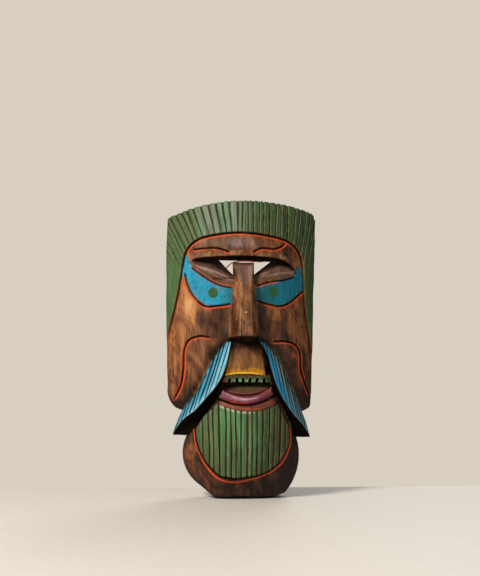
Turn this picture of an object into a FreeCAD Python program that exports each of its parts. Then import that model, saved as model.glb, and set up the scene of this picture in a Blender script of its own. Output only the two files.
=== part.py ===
import FreeCAD, Part
import math
import os

import Sketcher
from FreeCAD import Placement, Rotation, Vector

# A carved wooden mask: a hollowed half log with hair, brow, eye sockets, cheeks and chin,
# and a nose, two moustache wings, lips, teeth and a beard panel let in to its front and pegged.
# Millimetres. X is the width, the front faces -Y, +Z is up. The back rim lies on Y = 0 and the
# chin stands on Z = 0. "Depth" is the distance in front of the back plane, along -Y.

doc = FreeCAD.newDocument("carved_mask")

SIZES = {
    # the log: a round-fronted billet turned about an upright axis behind the back plane
    "log_axis_back": 130.0,
    "mask_top": 600.0,
    "depth_chin": 62.0,
    "depth_low": 88.0,
    "depth_mid": 101.0,
    "depth_brow": 102.0,
    "depth_top": 91.0,
    "height_low": 160.0,
    "height_mid": 400.0,
    "height_brow": 500.0,
    "hair_proud": 5.0,
    # the hollow behind the face
    "hollow_axis_back": 110.0,
    "hollow_foot": 28.0,
    "hollow_low": 130.0,
    "hollow_mid": 300.0,
    "hollow_high": 450.0,
    "hollow_head": 572.0,
    "hollow_depth_foot": 30.0,
    "hollow_depth_low": 50.0,
    "hollow_depth_mid": 66.0,
    "hollow_depth_high": 70.0,
    "hollow_depth_head": 62.0,
    # seats of the pieces let in to the front
    "nose_seat": 82.0,
    "wing_seat": 84.0,
    "wing_seat_angle": 24.0,
    "lip_seat": 74.0,
    "teeth_seat": 71.0,
    "beard_seat": 66.0,
    # mouth and teeth
    "mouth_left": -38.0,
    "mouth_right": 58.0,
    "mouth_floor": 200.0,
    "mouth_roof": 238.0,
    "mouth_back": 78.0,
    "mouth_back_height": 14.0,
    "mouth_front": 101.0,
    "teeth_top": 246.0,
    "teeth_front": 89.0,
    # dowels
    "nose_peg_radius": 5.0,
    "wing_peg_radius": 4.0,
    "lip_peg_radius": 3.0,
    "beard_peg_radius": 4.0,
    "peg_proud": 3.0,
    # screw eyes and cord
    "eye_height": 500.0,
    "eye_offset": 100.0,
    "eye_ring_depth": 15.0,
    "eye_ring_radius": 6.0,
    "eye_wire_radius": 1.3,
    "eye_shank_length": 26.0,
    "cord_radius": 1.2,
    "knot_radius": 3.2,
    "knot_length": 6.0,
    "knot_round": 1.2,
}

sheet = doc.addObject("Spreadsheet::Sheet", "Sizes")
for row, (alias, value) in enumerate(SIZES.items(), start=1):
    sheet.set(f"A{row}", alias)
    sheet.set(f"B{row}", str(value))
    sheet.setAlias(f"B{row}", alias)
doc.recompute()

FAR = 320.0  # past the outside of the log in every direction
RUN_OUT = 30.0  # how far a cutting shape runs on past the surface that it cuts


def size(alias):
    """The number in the sheet's cell of that name."""
    return float(sheet.get(alias))


def new_body(name):
    body = doc.addObject("PartDesign::Body", name)
    body.Label = name
    return body


def new_sketch(body, role, name, lift=0.0):
    """A sketch on one of the body's own origin planes, moved along its normal by lift."""
    planes = {feature.Role: feature for feature in body.Origin.OriginFeatures}
    sketch = body.newObject("Sketcher::SketchObject", name)
    sketch.AttachmentSupport = [(planes[role], "")]
    sketch.MapMode = "FlatFace"
    sketch.AttachmentOffset = Placement(Vector(0, 0, lift), Rotation())
    return sketch


def draw(sketch, outline):
    """Draws a closed outline. Each entry is a point, or (through, end) for an arc to end."""
    first = outline[0]
    here = first
    for step in outline[1:] + [first]:
        if isinstance(step[0], tuple):
            through, end = step
            arc = Part.Arc(Vector(*here, 0), Vector(*through, 0), Vector(*end, 0))
            sketch.addGeometry(arc, False)
        else:
            end = step
            if end != here:
                line = Part.LineSegment(Vector(*here, 0), Vector(*end, 0))
                sketch.addGeometry(line, False)
        here = end


def draw_frame(sketch):
    """A large rectangle round everything, so that a pocket keeps only what an outline holds."""
    draw(sketch, [(-FAR, -FAR), (FAR, -FAR), (FAR, 3 * FAR), (-FAR, 3 * FAR)])


def turn(body, name, axis_back, profile):
    """Turns a profile of (depth, height) points about an upright axis behind the back plane."""
    sketch = new_sketch(body, "YZ_Plane", name + "_profile")
    draw(sketch, profile)
    axis = Part.LineSegment(Vector(axis_back, 0, 0), Vector(axis_back, size("mask_top"), 0))
    line = sketch.addGeometry(axis, True)
    sketch.addConstraint(Sketcher.Constraint("Block", line))
    turned = body.newObject("PartDesign::Revolution", name)
    turned.Profile = sketch
    turned.ReferenceAxis = (sketch, ["Axis0"])
    turned.Angle = 180.0
    turned.Midplane = True
    return turned


def trim(body, name, outline):
    """Cuts away everything outside a front-view outline."""
    sketch = new_sketch(body, "XZ_Plane", name + "_outline")
    draw_frame(sketch)
    draw(sketch, outline)
    pocket = body.newObject("PartDesign::Pocket", name)
    pocket.Profile = sketch
    pocket.Type = "ThroughAll"
    pocket.SideType = "Symmetric"
    return pocket


def loft(body, name, sections):
    """A straight-sided loft through level sections: (height, outline of (x, depth) points)."""
    sketches = []
    for number, (height, outline) in enumerate(sections):
        sketch = new_sketch(body, "XY_Plane", f"{name}_section_{number}", height)
        draw(sketch, [(x, -depth) for x, depth in outline])
        sketches.append(sketch)
    lofted = body.newObject("PartDesign::AdditiveLoft", name)
    lofted.Profile = sketches[0]
    lofted.Sections = sketches[1:]
    lofted.Ruled = True
    return lofted


def cut(base, tools, name):
    """The base with each of the tools taken out of it, one after the other."""
    for number, tool in enumerate(tools):
        step = doc.addObject("Part::Cut", f"{name}_cut_{number}")
        step.Base = base
        step.Tool = tool
        base = step
    base.Label = name
    return base


# ---- front surface of the log ----


def front_profile(proud, axis_back):
    """The side view of the log's front, from the chin to the top, closed at the turning axis."""
    low = (-size("depth_low") - proud, size("height_low"))
    mid = (-size("depth_mid") - proud, size("height_mid"))
    brow = (-size("depth_brow") - proud, size("height_brow"))
    top = (-size("depth_top") - proud, size("mask_top"))
    chin = (-size("depth_chin") - proud, 0.0)
    return [(axis_back, 0.0), chin, (low, mid), (brow, top), (axis_back, size("mask_top"))]


SILHOUETTE = [
    (-58, 0),
    (72, 0),
    (90, 7),
    ((119, 72), (112, 124)),
    (125, 171),
    (133, 175),
    ((140.5, 180), (143.5, 192)),
    (145.3, 214),
    (146.5, 272),
    (149, 369),
    ((152.5, 465), (157, 565)),
    (155, 575),
    (149, 581),
    ((20, 600), (-80, 592)),
    (-104, 586),
    (-128, 577),
    (-142, 573),
    (-149, 569),
    (-152, 510),
    (-153, 400),
    (-151, 300),
    (-150.5, 250),
    (-149.8, 226),
    ((-145.5, 197), (-132, 180)),
    (-119, 174.5),
    (-109, 127),
    ((-116, 66), (-84, 23)),
]

HAIRLINE = [
    (-FAR, 320),
    (-152, 320),
    (-136, 381),
    (-118, 478),
    ((-107, 507), (-78, 526)),
    ((-3, 534), (86, 521)),
    ((115, 502), (126, 468)),
    (133, 370),
    (146, 290),
    (FAR, 290),
    (FAR, -20),
    (-FAR, -20),
]

INNER_OUTLINE = [
    (-50, 28),
    (55, 28),
    (92, 66),
    (90, 135),
    (124, 205),
    (130, 560),
    (118, 572),
    (-118, 572),
    (-130, 560),
    (-127, 205),
    (-90, 135),
    (-92, 66),
]

axis_back = size("log_axis_back")

blank = new_body("log_blank")
turn(blank, "log_round", axis_back, front_profile(size("hair_proud"), axis_back))
trim(blank, "log_silhouette", SILHOUETTE)
back_sketch = new_sketch(blank, "XY_Plane", "log_back_outline")
draw(back_sketch, [(-FAR, 0), (FAR, 0), (FAR, 2 * FAR), (-FAR, 2 * FAR)])
log_back = blank.newObject("PartDesign::Pocket", "log_back")
log_back.Profile = back_sketch
log_back.Type = "ThroughAll"
log_back.SideType = "Symmetric"

relief = new_body("face_relief")
relief_sketch = new_sketch(relief, "XZ_Plane", "face_outline")
draw(relief_sketch, HAIRLINE)
relief_block = relief.newObject("PartDesign::Pad", "face_block")
relief_block.Profile = relief_sketch
relief_block.Length = FAR
relief_core_sketch = new_sketch(relief, "YZ_Plane", "face_round_profile")
face_curve = front_profile(0.0, axis_back)
draw(
    relief_core_sketch,
    [(axis_back, -RUN_OUT), (-size("depth_chin"), -RUN_OUT)] + face_curve[1:],
)
core_axis = Part.LineSegment(Vector(axis_back, 0, 0), Vector(axis_back, size("mask_top"), 0))
relief_core_sketch.addGeometry(core_axis, True)
relief_core = relief.newObject("PartDesign::Groove", "face_round")
relief_core.Profile = relief_core_sketch
relief_core.ReferenceAxis = (relief_core_sketch, ["Axis0"])
relief_core.Angle = 360.0

# ---- the hollow behind the face ----

hollow_axis = size("hollow_axis_back")
hollow = new_body("hollow_core")
turn(
    hollow,
    "hollow_round",
    hollow_axis,
    [
        (hollow_axis, size("hollow_foot")),
        (-size("hollow_depth_foot"), size("hollow_foot")),
        (
            (-size("hollow_depth_low"), size("hollow_low")),
            (-size("hollow_depth_mid"), size("hollow_mid")),
        ),
        (-size("hollow_depth_high"), size("hollow_high")),
        (-size("hollow_depth_head"), size("hollow_head")),
        (hollow_axis, size("hollow_head")),
    ],
)
trim(hollow, "hollow_outline", INNER_OUTLINE)


def hollow_depth(x, height):
    """Depth of the hollow's wall at a place in the front view."""
    levels = ["foot", "low", "mid", "high", "head"]
    heights = [size("hollow_" + level) for level in levels]
    depths = [size("hollow_depth_" + level) for level in levels]
    for lower, upper, near, far in zip(heights, heights[1:], depths, depths[1:]):
        if lower <= height <= upper:
            middle = near + (far - near) * (height - lower) / (upper - lower)
            return math.sqrt((hollow_axis + middle) ** 2 - x * x) - hollow_axis
    raise ValueError(f"height {height} is outside the hollow")


# ---- eye sockets and the opening behind the nose ----

SOCKET_FRONT = size("depth_brow") + RUN_OUT


def socket(name, sections):
    """A wedge under the brow, lofted through upright sections.

    Each section: (x, brow height, lid height, lid depth, back depth, ledge height).
    """
    body = new_body(name)
    sketches = []
    for number, (x, brow, lid, lid_depth, back_depth, ledge) in enumerate(sections):
        sketch = new_sketch(body, "YZ_Plane", f"{name}_section_{number}", x)
        draw(
            sketch,
            [
                (-SOCKET_FRONT, lid),
                (-SOCKET_FRONT, brow),
                (-back_depth, brow),
                (-back_depth, ledge),
                (-lid_depth, lid),
            ],
        )
        sketches.append(sketch)
    lofted = body.newObject("PartDesign::AdditiveLoft", name + "_wedge")
    lofted.Profile = sketches[0]
    lofted.Sections = sketches[1:]
    lofted.Ruled = True
    return body


socket_left = socket(
    "eye_socket_left",
    [
        (-99, 479, 466, 78, 76, 477),
        (-62, 485, 440, 91, 71, 479),
        (-14, 485, 425, 98, 76, 450),
        (6, 485, 422, 99, 76, 434),
    ],
)
socket_right = socket(
    "eye_socket_right",
    [
        (4, 485, 422, 99, 76, 434),
        (24, 485, 428, 98, 76, 452),
        (79, 481, 439, 86, 69, 477),
        (109, 466, 449, 74, 68, 464),
    ],
)

EYE_OPENING = [(-46, 480), (-17, 449), (5, 430), (29, 452), (61, 477)]
opening = new_body("eye_opening")
opening_sketch = new_sketch(opening, "XZ_Plane", "eye_opening_outline")
draw(opening_sketch, EYE_OPENING)
opening_pad = opening.newObject("PartDesign::Pad", "eye_opening_prism")
opening_pad.Profile = opening_sketch
opening_pad.setExpression("Length", "Sizes.nose_seat")

# ---- mouth ----

mouth = new_body("mouth_recess")
mouth_sketch = new_sketch(mouth, "YZ_Plane", "mouth_side", size("mouth_left"))
draw(
    mouth_sketch,
    [
        (-SOCKET_FRONT, size("mouth_floor")),
        (-SOCKET_FRONT, size("mouth_roof")),
        (-size("mouth_back"), size("mouth_roof")),
        (-size("mouth_back"), size("mouth_roof") - size("mouth_back_height")),
        (-size("mouth_front"), size("mouth_floor")),
    ],
)
mouth_pad = mouth.newObject("PartDesign::Pad", "mouth_wedge")
mouth_pad.Profile = mouth_sketch
mouth_pad.setExpression("Length", "Sizes.mouth_right - Sizes.mouth_left")

# ---- nose: a straight bar with a flat ridge, its upper end free in front of the opening ----

nose = new_body("nose_bar")
nose_seat = size("nose_seat")
loft(
    nose,
    "nose_shape",
    [
        (318, [(-25, nose_seat), (-25, 97), (-6, 146), (18, 146), (31, 97), (31, nose_seat)]),
        (429, [(-18, nose_seat), (-18, 100), (-4, 119), (18, 119), (26, 100), (26, nose_seat)]),
        (473, [(-18, nose_seat), (-18, 91), (-16, 96), (23, 96), (26, 91), (26, nose_seat)]),
    ],
)

# ---- moustache wings ----

wing_slope = math.tan(math.radians(size("wing_seat_angle")))


def wing_seat(x):
    """Depth of the slanting flat seat under a moustache wing."""
    return size("wing_seat") - (abs(x) - 30.0) * wing_slope


def wing(name, side, sections):
    """A wing from level sections: (height, outer x, ridge x, under x, edge height, ridge height)."""
    body = new_body(name)
    outlines = []
    for height, outer, ridge, under, edge_rise, ridge_rise in sections:
        outer, ridge, under = side * outer, side * ridge, side * under
        outline = [
            (outer, wing_seat(outer)),
            (outer, wing_seat(outer) + edge_rise),
            (ridge, wing_seat(ridge) + ridge_rise),
            (under, wing_seat(under)),
        ]
        outlines.append((height, outline))
    loft(body, name + "_shape", outlines)
    return body


wing_left = wing(
    "moustache_left_wing",
    -1,
    [
        (125, 140, 139, 111, 5, 8),
        (149, 131, 126, 86, 9, 22),
        (172, 122, 98, 67, 12, 30),
        (202, 99, 71, 49, 16, 33),
        (240, 79, 43, 36, 18, 33),
        (290, 49, 27, 25, 18, 28),
        (312, 32, 23, 22, 14, 20),
    ],
)
wing_right = wing(
    "moustache_right_wing",
    1,
    [
        (120, 142, 141, 110, 5, 8),
        (150, 133, 120, 94, 9, 22),
        (178, 122, 96, 81, 12, 30),
        (200, 112, 82, 71, 14, 33),
        (240, 92, 65, 60, 17, 33),
        (284, 69, 52, 49, 18, 28),
        (312, 43, 36, 35, 14, 20),
    ],
)

# ---- lips, teeth and beard: curved plates that sit concentrically in the round front ----


def plate(name, seat, profile, outline):
    """A plate whose back is round at the seat depth and whose front follows the profile."""
    body = new_body(name)
    foot = profile[0]
    head = profile[-1][1] if isinstance(profile[-1][0], tuple) else profile[-1]
    closed = [(-seat, foot[1])] + profile + [(-seat, head[1])]
    turn(body, name + "_round", axis_back, closed)
    trim(body, name + "_edge", outline)
    return body


upper_lip = plate(
    "upper_lip_block",
    size("lip_seat"),
    [(-103, 244), ((-100, 285), (-95, 316))],
    [(-36, size("teeth_top")), (48, size("teeth_top")), (39, 310), (-22, 310)],
)
tooth_strip = plate(
    "tooth_bar",
    size("teeth_seat"),
    [(-size("teeth_front"), 228), (-size("teeth_front"), 260)],
    [(-40, 231), (59, 231), (59, size("teeth_top")), (-40, size("teeth_top"))],
)
lower_lip = plate(
    "lower_lip_block",
    size("lip_seat"),
    [(-101, 180), ((-107, 200), (-104, 222))],
    [(-47, 200), ((7, 187), (64, 206)), (59, 221), ((9, 201), (-39, 215))],
)
beard = plate(
    "beard_block",
    size("beard_seat"),
    [(-77, 20), ((-104, 120), (-99, 205))],
    [
        (-50, 189),
        (-78, 162),
        (-93, 138),
        (-92, 122),
        ((-76, 77), (-44, 42)),
        (-14, 37),
        (24, 42),
        ((78, 73), (96, 114)),
        (95, 142),
        (73, 187),
        ((8, 172), (-50, 189)),
    ],
)

# ---- dowels: each runs from just inside the hollow into its piece ----


def pegs(name, radius_cell, places):
    """Round dowels along Y, one for each (x, height, depth of its front end)."""
    rods = []
    for number, (x, height, front) in enumerate(places):
        back = hollow_depth(x, height) - size("peg_proud")
        rod = doc.addObject("Part::Cylinder", f"{name}_{number}")
        rod.setExpression("Radius", "Sizes." + radius_cell)
        rod.Height = front - back
        rod.Placement = Placement(Vector(x, -back, height), Rotation(Vector(1, 0, 0), 90))
        rods.append(rod)
    group = doc.addObject("Part::MultiFuse", name + "_group")
    group.Shapes = rods
    group.Label = name
    return group


nose_pegs = pegs("nose_pegs", "nose_peg_radius", [(4, 345, 106), (4, 397, 104)])
wing_pegs_left = pegs(
    "moustache_pegs_left", "wing_peg_radius", [(-60, 245, 86), (-92, 195, 70)]
)
wing_pegs_right = pegs(
    "moustache_pegs_right", "wing_peg_radius", [(74, 245, 82), (96, 192, 68)]
)
upper_lip_pegs = pegs("upper_lip_pegs", "lip_peg_radius", [(-8, 285, 88), (26, 285, 88)])
lower_lip_pegs = pegs("lower_lip_pegs", "lip_peg_radius", [(-18, 196, 92), (34, 197, 92)])
beard_pegs = pegs("beard_pegs", "beard_peg_radius", [(-36, 120, 82), (38, 120, 82)])

# ---- hanging cord, its knots and its screw eyes ----

ring_depth = size("eye_ring_depth")
ring_x = size("eye_offset")
ring_z = size("eye_height")


def screw_eye(name, x):
    """A wire ring in the hollow, open along X, with a shank driven forward in to the wood."""
    ring = doc.addObject("Part::Torus", name + "_ring")
    ring.setExpression("Radius1", "Sizes.eye_ring_radius")
    ring.setExpression("Radius2", "Sizes.eye_wire_radius")
    ring.Placement = Placement(Vector(x, -ring_depth, ring_z), Rotation(Vector(0, 1, 0), 90))
    shank = doc.addObject("Part::Cylinder", name + "_shank")
    shank.setExpression("Radius", "Sizes.eye_wire_radius")
    shank.setExpression("Height", "Sizes.eye_shank_length")
    start = ring_depth + size("eye_ring_radius")
    shank.Placement = Placement(Vector(x, -start, ring_z), Rotation(Vector(1, 0, 0), 90))
    joined = doc.addObject("Part::Fuse", name + "_wire")
    joined.Base = ring
    joined.Tool = shank
    joined.Label = name
    return joined


screw_eye_left = screw_eye("screw_eye_left", -ring_x)
screw_eye_right = screw_eye("screw_eye_right", ring_x)

# Left end to right end: down in a slack loop inside the hollow, up over the nose's top end.
CORD_ROUTE = [
    (-90, -16, 494),
    (-80, -23, 473),
    (-64, -35, 458),
    (-46, -48, 454),
    (-32, -61, 461),
    (-22, -77, 473),
    (-6, -85, 476.4),
    (14, -86, 476.2),
    (30, -79, 475.8),
    (43, -64, 477),
    (58, -45, 483),
    (75, -29, 491),
    (91, -17, 498),
]
ARC_SHARE = 0.45


def round_route(points):
    """Straight runs joined by arcs tangent to both, each as large as its two runs allow."""
    points = [Vector(*point) for point in points]
    edges = []
    radii = []
    here = points[0]
    for before, corner, after in zip(points, points[1:], points[2:]):
        into = (before - corner).normalize()
        out = (after - corner).normalize()
        turn_angle = math.pi - into.getAngle(out)
        reach = ARC_SHARE * min((before - corner).Length, (after - corner).Length)
        radius = reach / math.tan(turn_angle / 2)
        start = corner + into * reach
        end = corner + out * reach
        bisector = (into + out).normalize()
        centre = corner + bisector * (radius / math.cos(turn_angle / 2))
        middle = centre - bisector * radius
        edges.append(Part.LineSegment(here, start).toShape())
        edges.append(Part.Arc(start, middle, end).toShape())
        radii.append(radius)
        here = end
    edges.append(Part.LineSegment(here, points[-1]).toShape())
    return Part.Wire(edges), radii


cord_path, cord_radii = round_route(CORD_ROUTE)
cord_radius = size("cord_radius")
section_circle = Part.Circle(
    Vector(*CORD_ROUTE[0]), Vector(*CORD_ROUTE[1]) - Vector(*CORD_ROUTE[0]), cord_radius
)
cord_shape = cord_path.makePipeShell([Part.Wire(section_circle.toShape())], True, True)
cord = doc.addObject("Part::Feature", "cord_tube")
cord.Shape = cord_shape
cord.Label = "hanging_cord"
print("cord radii", [round(radius, 1) for radius in cord_radii])
print(
    "cord length", round(cord_path.Length, 1), "volume", round(cord_shape.Volume, 1),
    "section x length", round(math.pi * cord_radius**2 * cord_path.Length, 1),
)


def knot(name, end, inner):
    """A small barrel in line with the cord's last run, its flat face on the cord's end."""
    outward = (Vector(*end) - Vector(*inner)).normalize()
    barrel = doc.addObject("Part::Cylinder", name + "_barrel")
    barrel.setExpression("Radius", "Sizes.knot_radius")
    barrel.setExpression("Height", "Sizes.knot_length")
    barrel.Placement = Placement(Vector(*end), Rotation(Vector(0, 0, 1), outward))
    rounded = doc.addObject("Part::Fillet", name + "_rounded")
    rounded.Base = barrel
    rounded.Edges = [(edge, size("knot_round"), size("knot_round")) for edge in (1, 3)]
    rounded.Label = name
    return rounded


knot_left = knot("cord_knot_left", CORD_ROUTE[0], CORD_ROUTE[1])
knot_right = knot("cord_knot_right", CORD_ROUTE[-1], CORD_ROUTE[-2])

# ---- the face shell, cut for everything that is let in to it ----

shell = cut(
    blank,
    [relief, hollow, socket_left, socket_right, opening, mouth]
    + [nose, wing_left, wing_right, upper_lip, tooth_strip, lower_lip, beard]
    + [nose_pegs, wing_pegs_left, wing_pegs_right, upper_lip_pegs, lower_lip_pegs, beard_pegs]
    + [screw_eye_left, screw_eye_right],
    "face_shell",
)

NODES = {
    "face_shell": shell,
    "nose": cut(nose, [nose_pegs], "nose"),
    "moustache_left": cut(wing_left, [wing_pegs_left], "moustache_left"),
    "moustache_right": cut(wing_right, [wing_pegs_right], "moustache_right"),
    "upper_lip": cut(upper_lip, [upper_lip_pegs], "upper_lip"),
    "tooth_strip": tooth_strip,
    "lower_lip": cut(lower_lip, [lower_lip_pegs], "lower_lip"),
    "beard_panel": cut(beard, [beard_pegs], "beard_panel"),
    "nose_pegs": nose_pegs,
    "moustache_pegs_left": wing_pegs_left,
    "moustache_pegs_right": wing_pegs_right,
    "upper_lip_pegs": upper_lip_pegs,
    "lower_lip_pegs": lower_lip_pegs,
    "beard_pegs": beard_pegs,
    "screw_eye_left": screw_eye_left,
    "screw_eye_right": screw_eye_right,
    "hanging_cord": cord,
    "cord_knot_left": knot_left,
    "cord_knot_right": knot_right,
}
tooth_strip.Label = "tooth_strip"

doc.recompute()

for item in doc.Objects:
    if "Invalid" in item.State or "Error" in item.State:
        raise RuntimeError(f"{item.Name} ({item.Label}) failed: {item.State}")

os.makedirs("parts", exist_ok=True)
for name, item in NODES.items():
    shape = item.Shape
    if shape.isNull() or not shape.isValid():
        raise RuntimeError(f"{name} has no valid shape")
    shape.exportStep(f"parts/{name}.step")
    box = shape.BoundBox
    print(
        f"{name:22s} solids {len(shape.Solids)} volume {shape.Volume:10.0f}",
        f"x {box.XMin:.1f}..{box.XMax:.1f} y {box.YMin:.1f}..{box.YMax:.1f}",
        f"z {box.ZMin:.1f}..{box.ZMax:.1f}",
    )
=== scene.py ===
import math

import bpy
import numpy as np
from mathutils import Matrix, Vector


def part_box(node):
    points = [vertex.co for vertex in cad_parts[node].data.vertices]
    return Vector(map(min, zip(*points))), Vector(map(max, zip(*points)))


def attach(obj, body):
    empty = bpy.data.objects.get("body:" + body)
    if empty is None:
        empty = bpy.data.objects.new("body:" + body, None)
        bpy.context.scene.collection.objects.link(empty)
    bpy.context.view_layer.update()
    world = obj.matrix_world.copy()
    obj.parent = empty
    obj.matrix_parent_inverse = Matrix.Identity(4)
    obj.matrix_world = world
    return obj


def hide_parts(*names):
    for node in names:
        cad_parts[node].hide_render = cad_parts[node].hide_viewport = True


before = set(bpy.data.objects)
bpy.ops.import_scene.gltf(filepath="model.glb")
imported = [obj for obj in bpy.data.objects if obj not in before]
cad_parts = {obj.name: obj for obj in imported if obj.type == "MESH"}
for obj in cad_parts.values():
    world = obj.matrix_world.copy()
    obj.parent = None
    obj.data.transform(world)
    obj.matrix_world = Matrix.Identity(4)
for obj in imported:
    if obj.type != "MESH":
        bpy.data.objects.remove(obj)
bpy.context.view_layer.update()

import openvdb as vdb
from mathutils import Matrix, Vector

# A carved and painted wooden mask. The carving is worked out in millimetres on charts, which are
# maps over the front view (x to the right, z up) that hold the depth in front of the back plane.
# Each piece is a solid between two charts inside an outline; it is turned into metres at the end.

MM = 0.001

COARSE = 1.0  # voxels of the face shell, mm
FINE = 0.7  # voxels of the pieces let in to it, mm

# ---------------------------------------------------------------- camera and cord

CAMERA_PLACE = (-0.1615, -3.106, 0.1568)
CAMERA_YAW = math.radians(3.0)
LEAN = math.radians(5.0)  # the mask leans back on its surface
LENS = 93.56


def add_object(name, data):
    made = bpy.data.objects.new(name, data)
    bpy.context.scene.collection.objects.link(made)
    return made


def set_material(mesh, material):
    mesh.materials.clear()
    mesh.materials.append(material)


def add_camera():
    """The photographer's camera, level in the room, in the frame of the leaning mask."""
    data = bpy.data.cameras.new("camera")
    data.lens = LENS
    data.sensor_width = 36.0
    data.sensor_fit = "AUTO"
    data.clip_end = 50.0
    camera = add_object("camera", data)
    level = math.cos(LEAN)
    forward = Vector((math.sin(CAMERA_YAW) * level, math.cos(CAMERA_YAW) * level, math.sin(LEAN)))
    world_up = Vector((0.0, -math.sin(LEAN), math.cos(LEAN)))
    right = forward.cross(world_up).normalized()
    up = right.cross(forward)
    turn = Matrix((right, up, -forward)).transposed()
    camera.matrix_world = Matrix.Translation(CAMERA_PLACE) @ turn.to_4x4()
    bpy.context.scene.camera = camera


add_camera()

# Left end to right end: a slack loop inside the hollow, up over the nose's free top end.
CORD_ROUTE = [
    (-0.090, -0.016, 0.494),
    (-0.080, -0.023, 0.473),
    (-0.064, -0.035, 0.458),
    (-0.046, -0.048, 0.454),
    (-0.032, -0.061, 0.461),
    (-0.022, -0.077, 0.473),
    (-0.006, -0.085, 0.4764),
    (0.014, -0.086, 0.4762),
    (0.030, -0.079, 0.4758),
    (0.043, -0.064, 0.477),
    (0.058, -0.045, 0.483),
    (0.075, -0.029, 0.491),
    (0.091, -0.017, 0.498),
]
CORD_RADIUS = 0.0012


def add_curve(name, points, radius):
    """A round cord along a smooth NURBS line with those control points."""
    data = bpy.data.curves.new(name, "CURVE")
    data.dimensions = "3D"
    data.bevel_depth = radius
    data.bevel_resolution = 4
    data.resolution_u = 12
    data.use_fill_caps = True
    spline = data.splines.new("NURBS")
    spline.points.add(len(points) - 1)
    for control, place in zip(spline.points, points):
        control.co = (*place, 1.0)
    spline.order_u = 3
    spline.use_endpoint_u = True
    return add_object(name, data)


hanging_cord = add_curve("hanging_cord_twine", CORD_ROUTE, CORD_RADIUS)

# ---------------------------------------------------------------- shapes in the front view


def ease(start, end, value):
    """An S-curve: 0 up to the start, 1 from the end on."""
    t = np.clip((value - start) / (end - start), 0.0, 1.0)
    return t * t * (3.0 - 2.0 * t)


def smooth_max(a, b, width):
    """The larger of two fields, with a round of that width where they are equal."""
    h = np.clip(0.5 + 0.5 * (a - b) / width, 0.0, 1.0)
    return a * h + b * (1.0 - h) + width * h * (1.0 - h)


def smooth_min(a, b, width):
    """The smaller of two fields, with the same round."""
    return -smooth_max(-a, -b, width)


TABLE = (61, 67)  # a noise table's cells; the pattern repeats past them


def cells(x, z, cell_x, cell_z):
    """The place in cells of that size, and the column and row of its cell."""
    u = x / cell_x + 10.0 * TABLE[0]
    v = z / cell_z + 10.0 * TABLE[1]
    return u, v, np.floor(u).astype(int), np.floor(v).astype(int)


def noise(x, z, cell_x, cell_z, seed):
    """Smooth noise from -1 to 1 with cells of that size."""
    table = np.random.default_rng(seed).uniform(-1.0, 1.0, TABLE).astype(np.float32)
    u, v, column, row = cells(x, z, cell_x, cell_z)
    s = ease(0.0, 1.0, u - column)
    t = ease(0.0, 1.0, v - row)

    def corner(i, j):
        return table[(column + i) % TABLE[0], (row + j) % TABLE[1]]

    low = corner(0, 0) * (1 - s) + corner(1, 0) * s
    high = corner(0, 1) * (1 - s) + corner(1, 1) * s
    return low * (1 - t) + high * t


def gouges(x, z, width, length, seed):
    """Overlapping gouge cuts: 0 in the middle of a cut, 1 on the ridges between cuts."""
    jitter = np.random.default_rng(seed).uniform(-0.36, 0.36, (2, *TABLE))
    u, v, column, row = cells(x, z, width, length)
    nearest = np.full(u.shape, 9.0)
    for i in (-1, 0, 1):
        for j in (-1, 0, 1):
            cell = ((column + i) % TABLE[0], (row + j) % TABLE[1])
            du = u - (column + i) - 0.5 - jitter[0][cell]
            dv = v - (row + j) - 0.5 - jitter[1][cell]
            nearest = np.minimum(nearest, du * du + dv * dv)
    return np.minimum(nearest / 0.45, 1.0)


def circle_through(a, b, c):
    """The centre and the radius of the circle through three points."""
    (ax, ay), (bx, by), (cx, cy) = a, b, c
    d = 2 * (ax * (by - cy) + bx * (cy - ay) + cx * (ay - by))
    a2, b2, c2 = ax * ax + ay * ay, bx * bx + by * by, cx * cx + cy * cy
    ux = (a2 * (by - cy) + b2 * (cy - ay) + c2 * (ay - by)) / d
    uy = (a2 * (cx - bx) + b2 * (ax - cx) + c2 * (bx - ax)) / d
    return ux, uy, math.hypot(ax - ux, ay - uy)


def arc_points(start, through, end, spacing=5.0):
    """Points along the circle from start, through a point, to end, without the first."""
    ux, uy, radius = circle_through(start, through, end)
    first, middle, last = (math.atan2(y - uy, x - ux) for x, y in (start, through, end))
    sweep = (last - first) % (2 * math.pi)
    if (middle - first) % (2 * math.pi) > sweep:
        sweep -= 2 * math.pi
    count = max(2, int(abs(sweep) * radius / spacing))
    angles = first + sweep * np.arange(1, count + 1) / count
    return [(ux + radius * math.cos(angle), uy + radius * math.sin(angle)) for angle in angles]


def trace(outline):
    """Points round a closed outline. Each entry is a point, or (through, end) for an arc."""
    points = [outline[0]]
    for step in outline[1:]:
        if isinstance(step[0], tuple):
            points += arc_points(points[-1], *step)
        else:
            points.append(step)
    return points


def flow(points, steps=5):
    """Points along a smooth line through the given ones."""
    knots = np.array([points[0], *points, points[-1]], float)
    share = np.arange(steps)[:, None] / steps
    runs = []
    for a, b, c, d in zip(knots, knots[1:], knots[2:], knots[3:]):
        curve = 2 * b + (c - a) * share + (2 * a - 5 * b + 4 * c - d) * share**2
        runs.append(0.5 * (curve + (3 * b - a - 3 * c + d) * share**3))
    return np.vstack(runs + [knots[-1:]])


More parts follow.
